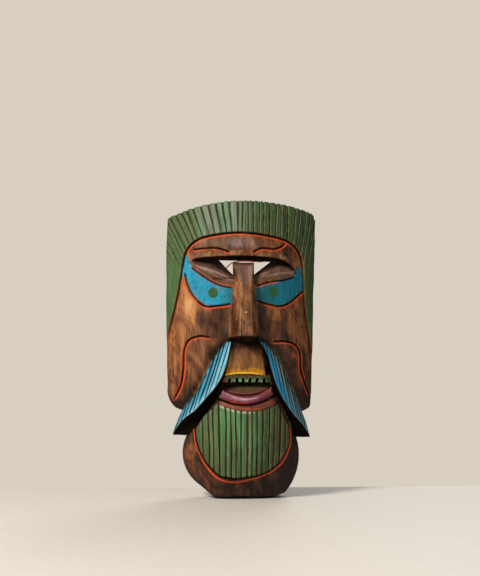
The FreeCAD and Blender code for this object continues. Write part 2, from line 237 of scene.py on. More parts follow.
def stroke(points, x, z):
    """Distance to a line, positive on its left, and the share of its length at the nearest place."""
    points = np.asarray(points, float)
    best = np.full(x.shape, 1e6)
    side = np.ones(x.shape)
    along = np.zeros(x.shape)
    runs = np.diff(points, axis=0)
    lengths = np.hypot(runs[:, 0], runs[:, 1])
    start = 0.0
    for (px, pz), (rx, rz), length in zip(points, runs, lengths):
        t = np.clip(((x - px) * rx + (z - pz) * rz) / length**2, 0.0, 1.0)
        gap = (x - px - t * rx) ** 2 + (z - pz - t * rz) ** 2
        nearer = gap < best
        best = np.where(nearer, gap, best)
        side = np.where(nearer, rx * (z - pz) - rz * (x - px), side)
        along = np.where(nearer, (start + t * length) / lengths.sum(), along)
        start += length
    return np.sign(side) * np.sqrt(best), along


def outline_distance(points, x, z):
    """Distance to a closed outline, negative inside it."""
    points = list(points)
    inside = np.zeros(x.shape, bool)
    best = np.full(x.shape, 1e9)
    for (ax, az), (bx, bz) in zip(points, points[1:] + points[:1]):
        rx, rz = bx - ax, bz - az
        length2 = rx * rx + rz * rz
        if length2 == 0:
            continue
        t = np.clip(((x - ax) * rx + (z - az) * rz) / length2, 0.0, 1.0)
        best = np.minimum(best, (x - ax - t * rx) ** 2 + (z - az - t * rz) ** 2)
        if rz != 0:
            inside ^= ((az > z) != (bz > z)) & (x < rx * (z - az) / rz + ax)
    return np.where(inside, -1.0, 1.0) * np.sqrt(best)


def circle_depth(z, a, b, c):
    """Depth at each height on the circle through three (height, depth) points."""
    middle, depth, radius = circle_through(a, b, c)
    return depth + np.sqrt(np.maximum(radius**2 - (z - middle) ** 2, 0.0))


def blur(chart, reach, step):
    """The chart averaged over about that reach in millimetres."""
    count = max(1, int(round(reach / step)))
    for axis in (0, 1):
        for _ in range(2):
            padded = np.pad(chart, [(count, count) if a == axis else (0, 0) for a in (0, 1)], "edge")
            total = np.zeros_like(chart)
            size = chart.shape[axis]
            for shift in range(2 * count + 1):
                total += np.take(padded, range(shift, shift + size), axis=axis)
            chart = total / (2 * count + 1)
    return chart


# ---------------------------------------------------------------- blocks of voxels


def linear(colour):
    """An 8-bit screen colour as linear light."""
    c = np.array(colour) / 255.0
    return np.where(c <= 0.04045, c / 12.92, ((c + 0.055) / 1.055) ** 2.4)


def colour4(colour):
    """The same with an alpha of 1, as Blender's sockets take it."""
    return (*linear(colour), 1.0)


class Block:
    """The voxels round a CAD node, in millimetres, and the chart of its paint."""

    def __init__(self, node, step, margin=4.0):
        low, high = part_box(node)
        self.step = step
        self.low = np.array(low) / MM - margin
        counts = np.ceil((np.array(high) / MM + margin - self.low) / step).astype(int) + 1
        axes = [(self.low[a] + step * np.arange(counts[a])).astype(np.float32) for a in range(3)]
        self.x, self.z = np.meshgrid(axes[0], axes[2], indexing="ij")
        self.depth = -axes[1][None, :, None]
        self.tint = np.zeros((*self.x.shape, 4), np.float32)

    def lay(self, colour, cover):
        """Lays paint over the front: an 8-bit screen colour, and how much of what is below it covers."""
        cover = np.clip(cover, 0.0, 1.0)[..., None]
        self.tint[..., :3] = self.tint[..., :3] * (1 - cover) + linear(colour) * cover
        self.tint[..., 3:] = self.tint[..., 3:] * (1 - cover) + cover

    def slab(self, chart):
        """A chart spread through the block's depth."""
        return np.asarray(chart, np.float32)[:, None, :]

    def ahead(self, chart):
        """Distance ahead of a depth chart, negative behind it."""
        along_x, along_z = np.gradient(np.asarray(chart, np.float32), self.step)
        flatness = 1.0 / np.sqrt(1.0 + along_x**2 + along_z**2)
        return (self.depth - self.slab(chart)) * self.slab(flatness)

    def sample(self, chart, points):
        """A chart's values at points of the piece."""
        chart = np.broadcast_to(chart, (*self.x.shape, *np.shape(chart)[2:]))
        u = np.clip((points[:, 0] - self.low[0]) / self.step, 0, chart.shape[0] - 1.001)
        v = np.clip((points[:, 2] - self.low[2]) / self.step, 0, chart.shape[1] - 1.001)
        i, j = u.astype(int), v.astype(int)
        s, t = u - i, v - j
        if chart.ndim == 3:
            s, t = s[:, None], t[:, None]
        low = chart[i, j] * (1 - s) + chart[i + 1, j] * s
        high = chart[i, j + 1] * (1 - s) + chart[i + 1, j + 1] * s
        return low * (1 - t) + high * t


def solid(block, front, seat, edge, rounding):
    """A solid between a seat chart and a front chart, inside an outline's distance chart."""
    field = smooth_max(block.ahead(front), block.slab(edge), np.float32(rounding))
    return np.maximum(field, -block.ahead(np.broadcast_to(seat, front.shape)))


def mesh_of(block, field):
    """The mesh where the field is zero: points in millimetres, and four-sided faces."""
    limit = np.float32(3.0 * block.step)
    grid = vdb.FloatGrid(float(limit))
    grid.copyFromArray(np.ascontiguousarray(np.clip(field, -limit, limit), np.float32))
    points, quads = grid.convertToQuads(0.0)
    points = points * block.step + block.low
    a, b, c, d = (points[quads[:, n]] for n in range(4))
    volume = np.einsum("ij,ij->", a, np.cross(b, c)) + np.einsum("ij,ij->", a, np.cross(c, d))
    if volume < 0:
        quads = quads[:, ::-1]
    return points.astype(np.float64), quads


def add_piece(name, points, quads, attributes, material):
    """A smooth-shaded mesh object with float and colour values at its points."""
    mesh = bpy.data.meshes.new(name)
    mesh.vertices.add(len(points))
    mesh.vertices.foreach_set("co", (points * MM).astype(np.float32).ravel())
    mesh.loops.add(quads.size)
    mesh.loops.foreach_set("vertex_index", np.ascontiguousarray(quads, np.int32).ravel())
    mesh.polygons.add(len(quads))
    mesh.polygons.foreach_set("loop_start", np.arange(0, quads.size, 4, dtype=np.int32))
    mesh.polygons.foreach_set("loop_total", np.full(len(quads), 4, np.int32))
    mesh.update(calc_edges=True)
    mesh.validate()
    mesh.shade_smooth()
    for key, values in attributes.items():
        values = np.asarray(values, np.float32)
        kind = "FLOAT_COLOR" if values.ndim == 2 else "FLOAT"
        layer = mesh.attributes.new(key, kind, "POINT")
        layer.data.foreach_set("color" if values.ndim == 2 else "value", values.ravel())
    set_material(mesh, material)
    return add_object(name, mesh)


# ---------------------------------------------------------------- cuts and bands


def band(value, start, end, soft=0.5):
    """1 where the value lies between start and end, with soft edges."""
    return ease(start - soft, start + soft, value) * (1.0 - ease(end - soft, end + soft, value))


def groove(distance, half_width, depth):
    """A V-shaped cut along a line."""
    return depth * np.maximum(0.0, 1.0 - np.abs(distance) / half_width)


def mound(x, z, place, reach, height):
    """A soft rise (or with a negative height a hollow) about a place."""
    u = (x - place[0]) / reach[0]
    v = (z - place[1]) / reach[1]
    return height * np.exp(-(u * u + v * v))


def cut_row(u, random, count, widths, depths, start, scale=1.0):
    """A row of cuts at random distances across u.

    At each place: the number of its strand, the share across that strand, and the distance to
    the nearer cut and the depth of that cut.
    """
    cuts = np.cumsum(random.uniform(*widths, count)) * scale + start
    depths = random.uniform(*depths, count + 1)
    strand = np.clip(np.searchsorted(cuts, u), 1, count - 1)
    left, right = cuts[strand - 1], cuts[strand]
    share = (u - left) / (right - left)
    nearer = np.where(share < 0.5, strand - 1, strand)
    return strand, share, np.minimum(u - left, right - u), depths[nearer]


# ---------------------------------------------------------------- outlines of the carving

SILHOUETTE = trace(
    [
        (-58, 0), (72, 0), (90, 7), ((119, 72), (112, 124)), (125, 171), (133, 175),
        ((140.5, 180), (143.5, 192)), (145.3, 214), (146.5, 272), (149, 369),
        ((152.5, 465), (157, 565)), (155, 575), (149, 581), ((20, 600), (-80, 592)), (-104, 586),
        (-128, 577), (-142, 573), (-149, 569), (-152, 510), (-153, 400), (-151, 300), (-150.5, 250),
        (-149.8, 226), ((-145.5, 197), (-132, 180)), (-119, 174.5), (-109, 127),
        ((-116, 66), (-84, 23)),
    ]
)

HAIRLINE = trace(
    [
        (-160, 285), (-152, 320), (-136, 381), (-118, 478), ((-107, 507), (-78, 526)),
        ((-3, 534), (86, 521)), ((115, 502), (126, 468)), (133, 370), (146, 290), (154, 240),
    ]
)

RIM = trace(
    [
        (-50, 28), (55, 28), ((86, 42), (92, 66)), (90, 135), (124, 205), (130, 560),
        ((127, 569), (118, 572)), (-118, 572), ((-127, 569), (-130, 560)), (-127, 205), (-90, 135),
        (-92, 66), ((-82, 41), (-50, 28)),
    ]
)

EYE_OPENING = [(-46, 480), (-17, 449), (5, 430), (29, 452), (61, 477)]

NOSE = [
    (-25, 318), (-17, 321), (-4, 320), (6, 317), (19, 319), (31, 318), (26, 429), (26, 473), (-18, 473),
    (-18, 429),
]
UPPER_LIP = trace([(-35, 244), ((6, 247), (47, 243.5)), (39, 310), (-22, 310)])
TEETH = [(-40, 231), (59, 231), (59, 247), (-40, 247)]
LOWER_LIP = trace([(-47, 200), ((7, 187), (64, 206)), (59, 221), ((9, 201), (-39, 215))])
BEARD = trace(
    [
        (-50, 189), (-78, 162), (-93, 138), (-92, 122), ((-76, 77), (-44, 42)), (-14, 37), (24, 42),
        ((78, 73), (96, 114)), (95, 142), (73, 187), ((8, 172), (-50, 189)),
    ]
)
BEARD_LINE = flow(
    [
        (-93, 150), (-95, 136), (-94, 116), (-88, 96), (-79, 74), (-65, 53), (-47, 37), (-28, 30.5),
        (-10, 29.5), (13, 34), (34, 40), (57, 49), (76, 62), (90, 80), (98, 101), (100, 120), (98, 146),
    ]
)


class Wing:
    """A moustache wing: its outer edge, its ridge and the foot of its underside, each from top to tip."""

    def __init__(self, outer, ridge, under):
        self.lines = [flow(line) for line in (outer, ridge, under)]
        outer_line, _, under_line = self.lines
        self.outline = [tuple(p) for p in outer_line] + [tuple(p) for p in under_line[::-1]]

    def edges(self, z):
        """X of the outer edge, the ridge and the underside's foot at each height."""
        found = []
        for line in self.lines:
            order = np.argsort(line[:, 1])
            found.append(np.interp(z, line[order, 1], line[order, 0]))
        return found


WING_LEFT = Wing(
    outer=[(-31, 312), (-47, 294), (-61, 274), (-73, 251), (-86, 223), (-98, 203), (-112, 187),
           (-122, 172), (-131, 151), (-137, 136), (-140, 125)],
    ridge=[(-23, 312), (-27, 292), (-33, 266), (-43, 240), (-57, 218), (-71, 202), (-85, 186),
           (-95, 175), (-104, 168), (-116, 159), (-127, 147), (-138, 129)],
    under=[(-20, 312), (-21, 290), (-26, 262), (-34, 238), (-44, 216), (-52, 193), (-76, 161),
           (-97, 137), (-110, 124)],
)
WING_RIGHT = Wing(
    outer=[(43, 312), (64, 292), (81, 266), (97, 230), (114, 196), (124, 172), (134, 148), (142, 119)],
    ridge=[(36, 312), (52, 284), (60, 256), (70, 226), (82, 200), (95, 180), (105, 166), (124, 146),
           (140, 123)],
    under=[(34, 312), (46, 284), (53, 256), (61, 226), (69, 204), (77, 190), (90, 166), (101, 142),
           (110, 119)],
)
WING_SLOPE = math.tan(math.radians(24))
NOSE_SEAT, LIP_SEAT, TEETH_SEAT, BEARD_SEAT = 82, 74, 71, 66
AXIS_BACK = 130
HOLLOW_AXIS_BACK = 110


def round_front(x, middle, axis_back=AXIS_BACK):
    """A front that is round about an upright axis, with that depth at x = 0."""
    return np.sqrt(np.maximum((axis_back + middle) ** 2 - x * x, 1)) - axis_back


def log_front(x, z):
    """The front of the plain log: round across, and bowed from the chin to the crown."""
    low = circle_depth(z, (0, 62), (160, 88), (400, 101))
    high = circle_depth(z, (400, 101), (500, 102), (600, 91))
    return round_front(x, np.where(z < 400, low, high))


def wing_seat(x):
    """The flat slopes that the two wings lie on."""
    return 84 - (np.abs(x) - 30) * WING_SLOPE


# ---------------------------------------------------------------- colours

ORANGE = (244, 86, 34)
RED_BROWN = (164, 50, 26)
FOREHEAD_HIGHLIGHT = (172, 142, 136)
HAIR_GREEN = (72, 104, 58)
HAIR_HIGHLIGHT = (128, 168, 132)
HAIR_SHADE = (46, 66, 30)
BLUE = (12, 152, 186)
BLUE_SHADE = (8, 98, 118)
BLUE_GREEN = (30, 92, 92)
DOT_GREEN = (42, 88, 28)
RAW_WOOD = (150, 112, 76)

# ---------------------------------------------------------------- the face shell

SOCKETS = [  # x, lid height, lid depth, ledge height, ledge depth
    (-103, 470, 84, 478, 83),
    (-96, 465, 80, 478, 77),
    (-84, 454, 84, 478, 73),
    (-62, 440, 91, 479, 71),
    (-44, 431, 94, 467, 73),
    (-14, 425, 98, 450, 76),
    (6, 422, 99, 434, 76),
    (24, 428, 98, 452, 76),
    (48, 436, 93, 463, 73),
    (79, 441, 86, 477, 69),
    (109, 449, 74, 464, 68),
    (115, 452, 80, 464, 80),
]
BROW_EDGE = [
    (-104, 476), (-98, 480), (-90, 482), (-69, 484), (-45, 485), (-8, 486), (24, 485), (50, 484),
    (75, 481), (89, 476), (103, 467), (109, 461), (116, 454),
]

# The face's cut lines: a line from left to right or from the middle outwards, half width, depth.
CUT_LINES = {
    "brow_left": (flow([(-98, 500), (-83, 501), (-63, 502), (-43, 500), (-25, 493)]), 3.2, 3.4),
    "brow_right": (flow([(23, 492), (36, 500), (50, 501), (65, 500), (79, 504), (91, 514)]), 3.4, 3.2),
    "lid_left": (flow([(-102, 465), (-86, 452), (-64, 436), (-44, 426), (-19, 420)]), 3.0, 3.0),
    "lid_right": (flow([(29, 424), (48, 431), (68, 435), (89, 438), (110, 445)]), 3.6, 3.2),
    "under_left": (
        flow([(-116, 456), (-113, 445), (-106, 420), (-92, 399), (-74, 384), (-44, 385), (-20, 389)]),
        3.2, 3.4,
    ),
    "under_right": (flow([(28, 396), (52, 388), (78, 384), (100, 393), (129, 419)]), 3.4, 3.4),
    "cheek_left": (
        flow([(-62, 320), (-84, 324), (-104, 318), (-113, 306), (-117, 288), (-118, 258), (-121, 234),
              (-128, 214), (-137, 198)]),
        3.4, 4.2,
    ),
    "cheek_right": (
        flow([(61, 312), (86, 313), (105, 309), (116, 298), (120, 284), (121, 257), (126, 241),
              (133, 221), (139, 207)]),
        3.4, 4.2,
    ),
}
# Paint beside a cut line: from and to across it, first and last share along it, strength, colour.
LINE_PAINT = [
    ("brow_left", -4.9, -1.6, 0, 1, 1, ORANGE),
    ("brow_right", -5, -1.6, 0, 1, 1, ORANGE),
    ("brow_right", -2.6, 2.6, 0.86, 1, 1, ORANGE),
    ("lid_left", -3.9, -1.8, 0, 0.6, 0.7, RED_BROWN),
    ("lid_left", 1.6, 3.8, 0, 1, 0.85, ORANGE),
    ("lid_right", -4.2, -2, 0, 0.55, 0.95, ORANGE),
    ("under_left", -5.4, -2, 0.12, 1, 1, ORANGE),
    ("under_right", -5.2, -2, 0, 1, 0.9, ORANGE),
    ("cheek_left", 1.8, 5, 0, 1, 1, ORANGE),
    ("cheek_left", -4.4, -2, 0.3, 1, 1, ORANGE),
    ("cheek_right", -5, -1.8, 0, 1, 1, ORANGE),
    ("cheek_right", 1.8, 4.4, 0.45, 0.8, 0.85, ORANGE),
]
BLUE_LEFT = [
    (-113, 492), (-106, 478), (-99, 465), (-84, 450), (-60, 433), (-40, 423), (-16, 419), (-16, 388),
    (-46, 386), (-72, 386), (-91, 401), (-104, 420), (-112, 447), (-122, 447), (-120, 466), (-116, 488),
]
BLUE_RIGHT = [
    (26, 423), (68, 434), (104, 445), (108, 458), (121, 466), (126, 452), (129, 421), (113, 408),
    (98, 393), (78, 386), (52, 390), (26, 397),
]
DOTS = [(-58, 411), (65, 413)]
DOT_RADIUS = 10.5
CRACK = [(17, -4), (19, 10), (17.5, 20), (18.5, 29)]
HAIR_RISE = 5  # the hair stands this far in front of the face
EDGE_ROUND, BACK_ROUND, SOCKET_ROUND, RIM_ROUND = np.float32([5.0, 2.0, 1.4, 8.0])
TUCK = -1.6  # a pocket's wall lies this far inside the outline of the piece in it

# Soft modelling of the valleys beside the nose, the cheeks, the brow, the chin and the lip.
RISES = [  # place, reach, height
    ((-37, 345), (15, 34), -6),
    ((45, 345), (14, 34), -5.5),
    ((-96, 262), (26, 60), 3),
    ((102, 262), (24, 60), 2.5),
    ((-55, 506), (46, 10), 1.8),
    ((60, 508), (46, 10), 1.8),
    ((4, 505), (20, 14), 2.2),
    ((0, 8), (60, 14), -2),
    ((4, 313), (30, 9), -7),
]
# Where the wood is darker: painted shade beside the nose, beside the left wing and down the right cheek
# and chin, and darker along the left edge and the foot.
STAIN_AND_SHADE_SPOTS = [  # place, reach, strength
    ((-64, 352), (26, 24), 0.55),
    ((-46, 348), (20, 26), 0.80),
    ((46, 345), (20, 34), 0.85),
    ((-86, 205), (26, 30), 0.45),
    ((84, 262), (34, 46), 0.75),
    ((118, 196), (26, 28), 1.10),
    ((60, 15), (60, 20), 0.65),
    ((96, 84), (24, 56), 0.72),
    ((-118, 250), (20, 60), 0.40),
    ((-118, 186), (40, 16), 0.90),
    ((-10, 20), (60, 14), 0.45),
]


def strand_cuts(x, z):
    """The hair's V cuts: depth, the strand's number, the distance to a cut in half widths, splits."""
    u = x
    for _ in range(6):
        splay = 0.16 * ease(60, 140, u) - 0.48 * np.clip((-5 - u) / 115, 0, 1)
        u = x - splay * (z - 530)
    u = u + 1.5 * noise(x, z, 24, 45, 11)
    random = np.random.default_rng(5)
    strand, share, nearest, depth = cut_row(u, random, 44, (8.8, 13.6), (1.6, 3.4), -222)
    half = 1.3 + ease(40, -20, x) * ease(525, 585, z)
    splits = ease(0.2, 0.6, noise(u, z, 2.6, 90, 13))
    cut = groove(nearest, half, depth) + 0.45 * (2 * share - 1) ** 2
    return cut + 0.3 * noise(u, z, 1.6, 60, 12) + 0.7 * splits, strand, nearest / half, splits


def eye_sockets(x, z):
    """The lower lid's height, the share from it up to the ledge, the floor's depth, the brow's edge."""
    columns = np.array(SOCKETS, float).T
    lid, lid_depth, ledge, ledge_depth = (np.interp(x, columns[0], row) for row in columns[1:])
    share = np.clip((z - lid) / (ledge - lid), -0.6, 1)
    floor = lid_depth + (ledge_depth - lid_depth) * np.maximum(share, 0.8 * share)
    lobes = np.maximum(4 * share * (1 - share), 0)
    floor = floor + lobes * (2 + 1.4 * np.cos((x + 84) / 34 * math.pi))
    floor = floor + 0.4 * gouges(x, z, 12, 8, 42)
    brow_x, brow_z = flow(BROW_EDGE).T
    return lid, share, floor, np.interp(x, brow_x, brow_z) + 0.4 * noise(x, z, 12, 50, 43)


def paint_planes(block, blue, mottle, streak):
    """The blue planes under the eyes, each with a green dot, with painted shade toward the nose and on the
    right plane.
    """
    x, z, lay = block.x, block.z, block.lay
    lay(BLUE, blue * (0.96 + 0.1 * mottle))
    flecks = ease(0.25, 0.75, noise(x, z, 2.6, 3.4, 34))
    lay((10, 70, 96), blue * flecks * (0.25 + 0.35 * ease(-60, -100, x)))
    # painted shade: blue-green toward the nose, with blue-green patches at random
    toward_nose = np.exp(-(((x + 14) / 20) ** 2))
    lay(BLUE_GREEN, blue * (x < 4) * (0.75 * toward_nose + 0.22 * ease(0.1, 0.8, mottle)))
    # painted shade: the right plane is deeper blue, and blue-green toward the nose
    right = blue * ease(0, 10, x)
    lay(BLUE_SHADE, right * (0.85 + 0.1 * streak))
    lay(BLUE_GREEN, right * ease(88, 40, x) * (0.75 + 0.2 * mottle))
    for (dot_x, dot_z), cover in zip(DOTS, (0.95, 0.85)):
        from_dot = np.hypot(x - dot_x, z - dot_z) + 0.9 * noise(x, z, 5, 5, 33)
        lay(DOT_GREEN, ease(DOT_RADIUS + 0.7, DOT_RADIUS - 0.7, from_dot) * cover)


def paint_hair(block, hair, combed, strand, cut_distance, splits, mottle, streak):
    """Green hair, with a painted highlight left of the crown and painted shade to the right, and brown in
    its cuts.
    """
    x, z, lay = block.x, block.z, block.lay
    tone = np.random.default_rng(6).uniform(0, 1, 60)[strand]
    grooved = hair * combed
    lay(HAIR_GREEN, hair * (0.97 + 0.05 * mottle))
    # painted highlight: pale, grey and light-green strands left of the crown
    pale = grooved * ease(78, -20, np.abs(x + 42)) * (0.45 + 0.5 * tone + 0.25 * streak)
    lay(HAIR_HIGHLIGHT, pale)
    lay((140, 134, 126), pale * ease(0.4, 0.9, tone) * 0.8)
    lay((112, 176, 128), pale * ease(0.35, 0.05, tone) * 0.6)
    lay((66, 82, 54), grooved * ease(0.1, 0.9, noise(strand * 3, z, 2, 30, 14)) * 0.5)
    # painted shade on the right of the hair
    lay(HAIR_SHADE, hair * ease(5, 80, x) * (0.62 + 0.25 * mottle + 0.2 * tone))
    lay((64, 106, 54), hair * ease(-60, -130, x) * (0.5 + 0.3 * mottle))
    lay((96, 78, 54), hair * ease(0.35, 0.85, streak + 0.35 * mottle) * 0.35)
    to_right = ease(10, 60, x)
    lay((60, 48, 32), grooved * splits * (0.6 - 0.2 * to_right))
    cut_edges = grooved * band(cut_distance, 0.9, 1.7, 0.3) * ease(-0.7, 0.5, mottle)
    lay((134, 152, 118), cut_edges * (0.25 + 0.45 * ease(-20, 50, x)))
    lay((50, 36, 24), grooved * ease(1.1, 0.5, cut_distance) * (0.95 - 0.45 * to_right))


def carve_shell():
    """The half log: hair, brow, eye sockets, cheeks and chin in front, and the hollow behind."""
    block = Block("face_shell", COARSE)
    x, z, lay = block.x, block.z, block.lay
    hair_side, _ = stroke(HAIRLINE, x, z)
    hair_side = hair_side + 0.7 * noise(x, z, 26, 26, 3)
    hair = ease(-1.3, 1.3, hair_side)
    face = 1 - hair
    cuts, strand, cut_distance, splits = strand_cuts(x, z)
    combed = 0.14 + 0.86 * ease(448, 508, z + 0.12 * np.abs(x) - 14)
    front = log_front(x, z) + HAIR_RISE * hair - hair * combed * cuts
    edge = outline_distance(SILHOUETTE, x, z) + 0.3 + 0.6 * noise(x, z, 30, 34, 4)
    edge = edge + 1.3 * np.exp(-(cut_distance**2)) * ease(562, 574, z)
    for rise in RISES:
        front = front + face * mound(x, z, *rise)
    wing_gap = np.minimum(*(outline_distance(wing.outline, x, z) for wing in (WING_LEFT, WING_RIGHT)))
    front = front - 5 * np.exp(-((np.maximum(wing_gap, 0) / 9) ** 2)) * face

    # cut lines, and the patina and painted shade in them
    lines = {}
    darks = []
    for name, (points, half, depth) in CUT_LINES.items():
        side, along = stroke(points, x, z)
        side = side + 0.35 * noise(x, z, 9, 9, 21)
        ends = ease(0, 0.06, along) * ease(1, 0.95, along)
        lines[name] = (side, along)
        front = front - groove(side, half * (0.5 + 0.5 * ends), depth * ends)
        darks.append(groove(side, half * 0.95, 1.6) * np.minimum(ends * 1.6, 1))
    crown = ease(455, 500, z)
    front = front - groove(hair_side + 1.6, 2.8, 3.6) * (0.4 + 0.6 * crown)
    darks.append(groove(hair_side + 1.2, 2.9, 1.6) * (0.35 + 0.65 * crown))

    # the painted planes under the eyes lie a little deeper
    blue_left = outline_distance(BLUE_LEFT, x, z) + 0.8 * noise(x, z, 7, 7, 31)
    blue_right = outline_distance(BLUE_RIGHT, x, z) + 0.8 * noise(x, z, 7, 7, 32)
    blue_gap = np.minimum(blue_left, blue_right)
    blue = ease(0.8, -0.8, blue_gap)
    front = front - 1.4 * ease(2, -3, blue_gap)

    # gouge facets, a drying crack in the chin, and the channel round the beard and the lower lip
    front = front - face * 0.55 * (1 - gouges(x, z, 9, 24, 41))
    crack, _ = stroke(CRACK, x, z)
    front = front - groove(crack, 1.2, 1.5)
    beard_gap = outline_distance(BEARD, x, z)
    front = front - groove(beard_gap - 0.5, 2.6, 4) * ease(184, 158, z)
    lip_gap = outline_distance(LOWER_LIP, x, z)
    front = front - groove(lip_gap - 1.5, 3.2, 4.5)

    # pockets that the pieces are let in to, hidden under their edges
    nose_gap = outline_distance(NOSE, x, z)
    for gap, seat in (
        (nose_gap, NOSE_SEAT),
        (wing_gap, wing_seat(x)),
        (outline_distance(UPPER_LIP, x, z), round_front(x, LIP_SEAT)),
        (outline_distance(TEETH, x, z), round_front(x, TEETH_SEAT)),
        (lip_gap, round_front(x, LIP_SEAT)),
        (beard_gap, round_front(x, BEARD_SEAT)),
    ):
        front = np.where(gap < TUCK, np.minimum(front, seat), front)

    # the solid, less the eye sockets, the mouth, the hollow and the eye openings
    field = smooth_max(block.ahead(front), block.slab(edge), EDGE_ROUND)
    field = smooth_max(field, -block.depth, BACK_ROUND)
    lid, share, floor, brow = eye_sockets(x, z)
    socket = np.maximum(-block.ahead(floor), block.slab(z - brow))
    field = smooth_max(field, -socket, SOCKET_ROUND)
    mouth_floor = 101 - 23 * np.clip((z - 200) / 24, -0.6, 1)
    mouth_sides = np.maximum(-38 - x, x - 58)
    mouth = np.maximum(-block.ahead(mouth_floor), block.slab(np.maximum(mouth_sides, z - 238)))
    field = np.maximum(field, -mouth)
    chin_hollow = circle_depth(z, (28, 30), (130, 50), (300, 66))
    middle = np.where(z < 300, chin_hollow, np.interp(z, [300, 450, 572], [66, 70, 62]))
    hollow_wall = round_front(x, middle, HOLLOW_AXIS_BACK)
    hollow_cut = hollow_wall - 1.7 * gouges(x + 0.1 * z, z, 15, 30, 44)
    rim = outline_distance(RIM, x, z) + 0.8 * noise(x, z, 16, 16, 45)
    hollow = smooth_max(block.ahead(hollow_cut), block.slab(rim), RIM_ROUND)
    field = smooth_max(field, -hollow, BACK_ROUND)
    opening = outline_distance(EYE_OPENING, x, z) + 0.3 * noise(x, z, 6, 6, 46)
    points, quads = mesh_of(block, np.maximum(field, -block.slab(opening)))

    # paint: a painted highlight on the forehead and along the brow's lower edge, the planes under the eyes
    # and the hair
    mottle = noise(x, z, 5, 9, 51)
    mottle_large = noise(x, z, 22, 36, 52)
    streak = noise(x, z, 2.4, 40, 53)
    lay(FOREHEAD_HIGHLIGHT, face * mound(x, z, (0, 512), (40, 14), 0.85) * (0.75 + 0.35 * mottle))
    brow_edge_highlight = face * band(z - brow, 1, 11, 2) * band(x, -96, 104, 6)
    lay((184, 132, 80), brow_edge_highlight * ease(-0.4, 0.9, mottle + mottle_large) * 0.75)
    paint_planes(block, blue, mottle, streak)
    paint_hair(block, hair, combed, strand, cut_distance, splits, mottle, streak)

    # orange and red lines beside the cuts, under the hair and round the beard
    breaks = ease(-0.95, -0.5, noise(x, z, 13, 13, 61)) * (0.88 + 0.12 * mottle)
    for name, start, end, first, last, strength, colour in LINE_PAINT:
        side, along = lines[name]
        present = band(along, first, last, 0.03) * breaks * strength * face
        lay(colour, band(side, start, end, 0.45) * present)
    top = ease(470, 500, z)
    lay(RED_BROWN, band(hair_side, -4.2, -0.6) * breaks * (1 - top) * (1 - 0.9 * blue))
    lay(ORANGE, band(hair_side, -6.6, -3.4) * breaks * (0.12 + 0.88 * top) * (1 - blue))
    below_wings = ease(146, 134, z)
    beard_line, _ = stroke(BEARD_LINE, x, z)
    beard_line = beard_line + 0.4 * noise(x, z, 10, 10, 62)
    lay((92, 58, 40), ease(0, 1.5, beard_gap) * band(beard_line, 0, 14, 1) * below_wings * 0.8)
    lay(ORANGE, band(beard_line, -2, 1.4) * below_wings * (0.92 + 0.08 * mottle))

    # the band under the lip, the mouth, and painted shade, black and dark green, in the valleys along the
    # wings
    lip_band = band(x, -52, 70, 4) * band(z, 168, 200, 3)
    lay((186, 104, 84), lip_band * ease(-1, 2, lip_gap) * ease(-2, 1, beard_gap) * 0.97)
    lay((255, 112, 62), band(x, 4, 46, 3) * band(beard_gap, 1, 4.4, 0.6) * band(z, 164, 190, 3))
    in_mouth = ease(1, -1, mouth_sides) * band(z, 196, 240, 1)
    lay((88, 66, 40), in_mouth)
    lay((116, 60, 62), in_mouth * ease(8.5, 6.5, lip_gap + 0.5 * mottle))
    beside = ease(16, 3, wing_gap) * ease(-90, -40, x) * ease(100, 60, x) * ease(320, 300, z)
    lay((16, 15, 9), beside * 0.97 * ease(0, 3, lip_gap))
    green_side = band(x, 46, 96, 10) * band(z, 196, 300, 12)
    lay((58, 68, 32), beside * green_side * (0.7 + 0.25 * mottle))

    # the eye sockets, with a painted highlight on the lid lobes
    in_socket = ease(-1, 1, z - lid) * ease(1, -1, z - brow) * band(x, -102, 113, 1)
    lay((106, 78, 66), in_socket * (0.8 + 0.2 * mottle))
    lid_streak = noise(share * 60, x, 6, 22, 54)
    lay((196, 160, 146), in_socket * band(share, 0.3, 0.58, 0.12) * ease(-0.1, 0.8, lid_streak) * 0.7)
    lay((96, 62, 40), in_socket * ease(0.22, 0.05, share) * 0.8)

    # the stain-and-shade map: darker wood at random, painted shade beside the wings and the nose and
    # toward the right, darker at the silhouette's edges and toward the chin, and painted light on the left
    # cheek and the left of the chin
    stain_and_shade = face * (
        np.maximum.reduce([mound(x, z, *spot) for spot in STAIN_AND_SHADE_SPOTS])
        + 0.45 * ease(26, 2, wing_gap)
        + 0.30 * ease(12, 1, nose_gap)
        + 0.45 * ease(9, 0, np.abs(edge))
        + 0.50 * ease(0, 0.9, mottle_large)
        + 0.25 * ease(20, 70, x)
        + 0.35 * ease(160, 110, z)
        + 0.35 * ease(250, 195, z)
        - mound(x, z, (-104, 388), (34, 34), 0.5)
        - mound(x, z, (-98, 110), (16, 30), 0.4)
    )

